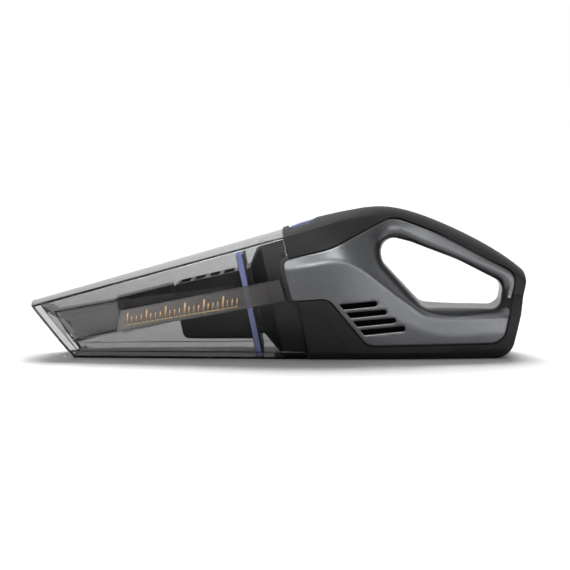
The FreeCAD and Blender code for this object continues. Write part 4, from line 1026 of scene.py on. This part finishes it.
def crease_bead(name, side, near, far, radius):
    """Fine dark bead along one longitudinal edge of the cup, from the mouth to the seam: painted shade
    for the dark line along that crease.
    """
    start = np.array([CUP_START, -near[0] * side, near[1]])
    run = np.array([CUP_END, -far[0] * side, far[1]]) - start
    mouth_end = MOUTH_POINT + MOUTH_INWARD * BEAD_MOUTH_GAP - start
    seam_end = SEAM_POINT + FORWARD * BEAD_SEAM_GAP - start
    first = (mouth_end @ MOUTH_INWARD) / (run @ MOUTH_INWARD)
    last = (seam_end @ FORWARD) / (run @ FORWARD)
    heading = unit(run)
    across = unit(np.cross(heading, (0, 0, 1)))
    upward = np.cross(across, heading)
    points = []
    for r in range(BEAD_STEPS + 1):
        middle = start + run * (first + (last - first) * r / BEAD_STEPS)
        taper = min(1.0, BEAD_TIP + min(r, BEAD_STEPS - r) / 2)
        for c in range(BEAD_POINTS):
            angle = 2 * math.pi * c / BEAD_POINTS
            offset = across * math.cos(angle) + upward * math.sin(angle)
            points.append(middle + offset * radius * taper)
    faces = grid_faces(BEAD_STEPS + 1, BEAD_POINTS)
    faces.append(tuple(range(BEAD_POINTS)))
    faces.append(tuple(range(BEAD_STEPS * BEAD_POINTS, (BEAD_STEPS + 1) * BEAD_POINTS)))
    new_piece(sided(name, side), points, faces, "dark_smoke", "cup")


cup_piece()
seal_piece()
mouth_rim_piece()
for side in (1, -1):
    for name, bead in BEADS.items():
        crease_bead(name, side, *bead)
for side in (1, -1):
    panel_piece(side)
    band_piece(side)
    gauge_piece(side)


# --------------------------------------------
# Rounded edges of the CAD nodes that stay
# --------------------------------------------
EDGE_WIDTHS = {
    "housing_left": 0.5,
    "housing_right": 0.5,
    "filter_frame": 0.6,
    "filter_seat": 0.4,
    "inlet_tube": 0.3,
    "release_button": 0.5,
    "power_button": 0.4,
}
EDGE_SEGMENTS = 2
EDGE_ANGLE = math.radians(32)
WELD_DISTANCE = 0.01 * MM


def softened(node_name, width):
    """Rounds the moulded edges of a CAD node, by modifiers only."""
    node = frame["nodes"][node_name]
    weld = node.modifiers.new("weld", "WELD")
    weld.merge_threshold = WELD_DISTANCE
    bevel = node.modifiers.new("edges", "BEVEL")
    bevel.width = width * MM
    bevel.segments = EDGE_SEGMENTS
    bevel.limit_method = "ANGLE"
    bevel.angle_limit = EDGE_ANGLE
    bevel.harden_normals = False
    normals = node.modifiers.new("normals", "WEIGHTED_NORMAL")
    normals.keep_sharp = False


for node_name, width in EDGE_WIDTHS.items():
    softened(node_name, width)


# --------------------------------------------
# Floor, lights and camera
# --------------------------------------------
bpy.ops.mesh.primitive_plane_add(size=60.0, location=(0, 0, 0))
floor = bpy.context.object
floor.name = "floor"
floor.data.materials.append(moulded("floor_white", (0.92, 0.92, 0.925), 0.9, grain=8, bump=0,
                                    vary=0.004, specular=0.1))

# The room's brightness at the front, what its top, back and rear side add to it (axis of the
# direction, where the step begins and ends, and how much), and the share that diffuse rays see.
ROOM_FRONT = 0.05
ROOM_SIDES = (
    ("Z", 0.40, 0.95, 0.65),
    ("Y", -0.10, 0.55, 0.75),
    ("X", 0.10, 0.50, 0.30),
)
ROOM_DIFFUSE = 0.4


def ramp(nodes, links, source, low, high, value):
    """Smooth step of a direction component: 0 below low, value above high."""
    step = nodes.new("ShaderNodeMapRange")
    step.interpolation_type = "SMOOTHSTEP"
    step.inputs["From Min"].default_value = low
    step.inputs["From Max"].default_value = high
    step.inputs["To Min"].default_value = 0.0
    step.inputs["To Max"].default_value = value
    links.new(source, step.inputs["Value"])
    return step.outputs["Result"]


def combined(nodes, links, operation, first, second):
    """Sum or product of two values, each a number or a socket."""
    node = nodes.new("ShaderNodeMath")
    node.operation = operation
    for socket, value in zip(node.inputs, (first, second)):
        if isinstance(value, float):
            socket.default_value = value
        else:
            links.new(value, socket)
    return node.outputs[0]


def backdrop(nodes, links, strength):
    """White background of a strength, which is a number or a socket."""
    background = nodes.new("ShaderNodeBackground")
    background.inputs["Color"].default_value = (1, 1, 1, 1)
    if isinstance(strength, float):
        background.inputs["Strength"].default_value = strength
    else:
        links.new(strength, background.inputs["Strength"])
    return background.outputs[0]


def studio_world():
    """White to the camera. Light and reflections see a room that is dim in front of the object
    and brighter above it, behind it and at its rear; diffuse rays see the same room, dimmer.
    """
    world = bpy.data.worlds.new("studio")
    bpy.context.scene.world = world
    world.use_nodes = True
    nodes, links = world.node_tree.nodes, world.node_tree.links
    nodes.clear()
    coords = nodes.new("ShaderNodeTexCoord")
    split = nodes.new("ShaderNodeSeparateXYZ")
    links.new(coords.outputs["Generated"], split.inputs["Vector"])
    level = ROOM_FRONT
    for axis, low, high, value in ROOM_SIDES:
        side_level = ramp(nodes, links, split.outputs[axis], low, high, value)
        level = combined(nodes, links, "ADD", level, side_level)
    path = nodes.new("ShaderNodeLightPath")
    dim = nodes.new("ShaderNodeMapRange")
    dim.inputs["To Min"].default_value = 1.0
    dim.inputs["To Max"].default_value = ROOM_DIFFUSE
    links.new(path.outputs["Is Diffuse Ray"], dim.inputs["Value"])
    level = combined(nodes, links, "MULTIPLY", level, dim.outputs["Result"])
    mix = nodes.new("ShaderNodeMixShader")
    links.new(path.outputs["Is Camera Ray"], mix.inputs["Fac"])
    links.new(backdrop(nodes, links, level), mix.inputs[1])
    links.new(backdrop(nodes, links, 1.0), mix.inputs[2])
    output = nodes.new("ShaderNodeOutputWorld")
    links.new(mix.outputs[0], output.inputs["Surface"])


studio_world()


def area_light(name, place, target, size, power):
    """Rectangular softbox facing its target, seen in reflections only."""
    data = bpy.data.lights.new(name, "AREA")
    data.shape = "RECTANGLE"
    data.size, data.size_y = size
    data.energy = power
    lamp = bpy.data.objects.new(name, data)
    lamp.location = place
    lamp.rotation_euler = (Vector(target) - Vector(place)).to_track_quat("-Z", "Y").to_euler()
    lamp.visible_diffuse = False
    bpy.context.collection.objects.link(lamp)


def sky_light(name, direction, strength, spread):
    """Even light from a direction, with a soft shadow and no mirror image."""
    data = bpy.data.lights.new(name, "SUN")
    data.energy = strength
    data.angle = math.radians(spread)
    lamp = bpy.data.objects.new(name, data)
    lamp.rotation_euler = Vector(direction).to_track_quat("-Z", "Y").to_euler()
    lamp.visible_glossy = False
    bpy.context.collection.objects.link(lamp)


sky_light("overhead", direction=(0.05, -1.05, -1.0), strength=4.5, spread=30)
area_light("side_box", place=(0.75, -1.35, 0.28), target=(0.12, 0, 0.05), size=(0.6, 0.6), power=4.2)
area_light("brow_box", place=(0.02, -1.45, 0.62), target=(0.10, 0, 0.08), size=(0.5, 0.3), power=7)
area_light("top_box", place=(0.10, -0.85, 1.20), target=(0.12, 0, 0.08), size=(0.5, 0.5), power=11)

CAMERA_DISTANCE = 2.0
CAMERA_TILT = math.radians(4.0)
AIM = Vector((0.0054, 0.0, 0.0574))
FRAME_WIDTH = 0.4731
camera_data = bpy.data.cameras.new("camera")
camera = bpy.data.objects.new("camera", camera_data)
bpy.context.collection.objects.link(camera)
camera.location = AIM + Vector((0, -math.cos(CAMERA_TILT), math.sin(CAMERA_TILT))) * CAMERA_DISTANCE
camera.rotation_euler = (AIM - camera.location).to_track_quat("-Z", "Y").to_euler()
camera_data.angle = 2 * math.atan(FRAME_WIDTH / 2 / CAMERA_DISTANCE)
camera_data.clip_start = 0.05
bpy.context.scene.camera = camera
bpy.context.scene.view_settings.view_transform = "Standard"
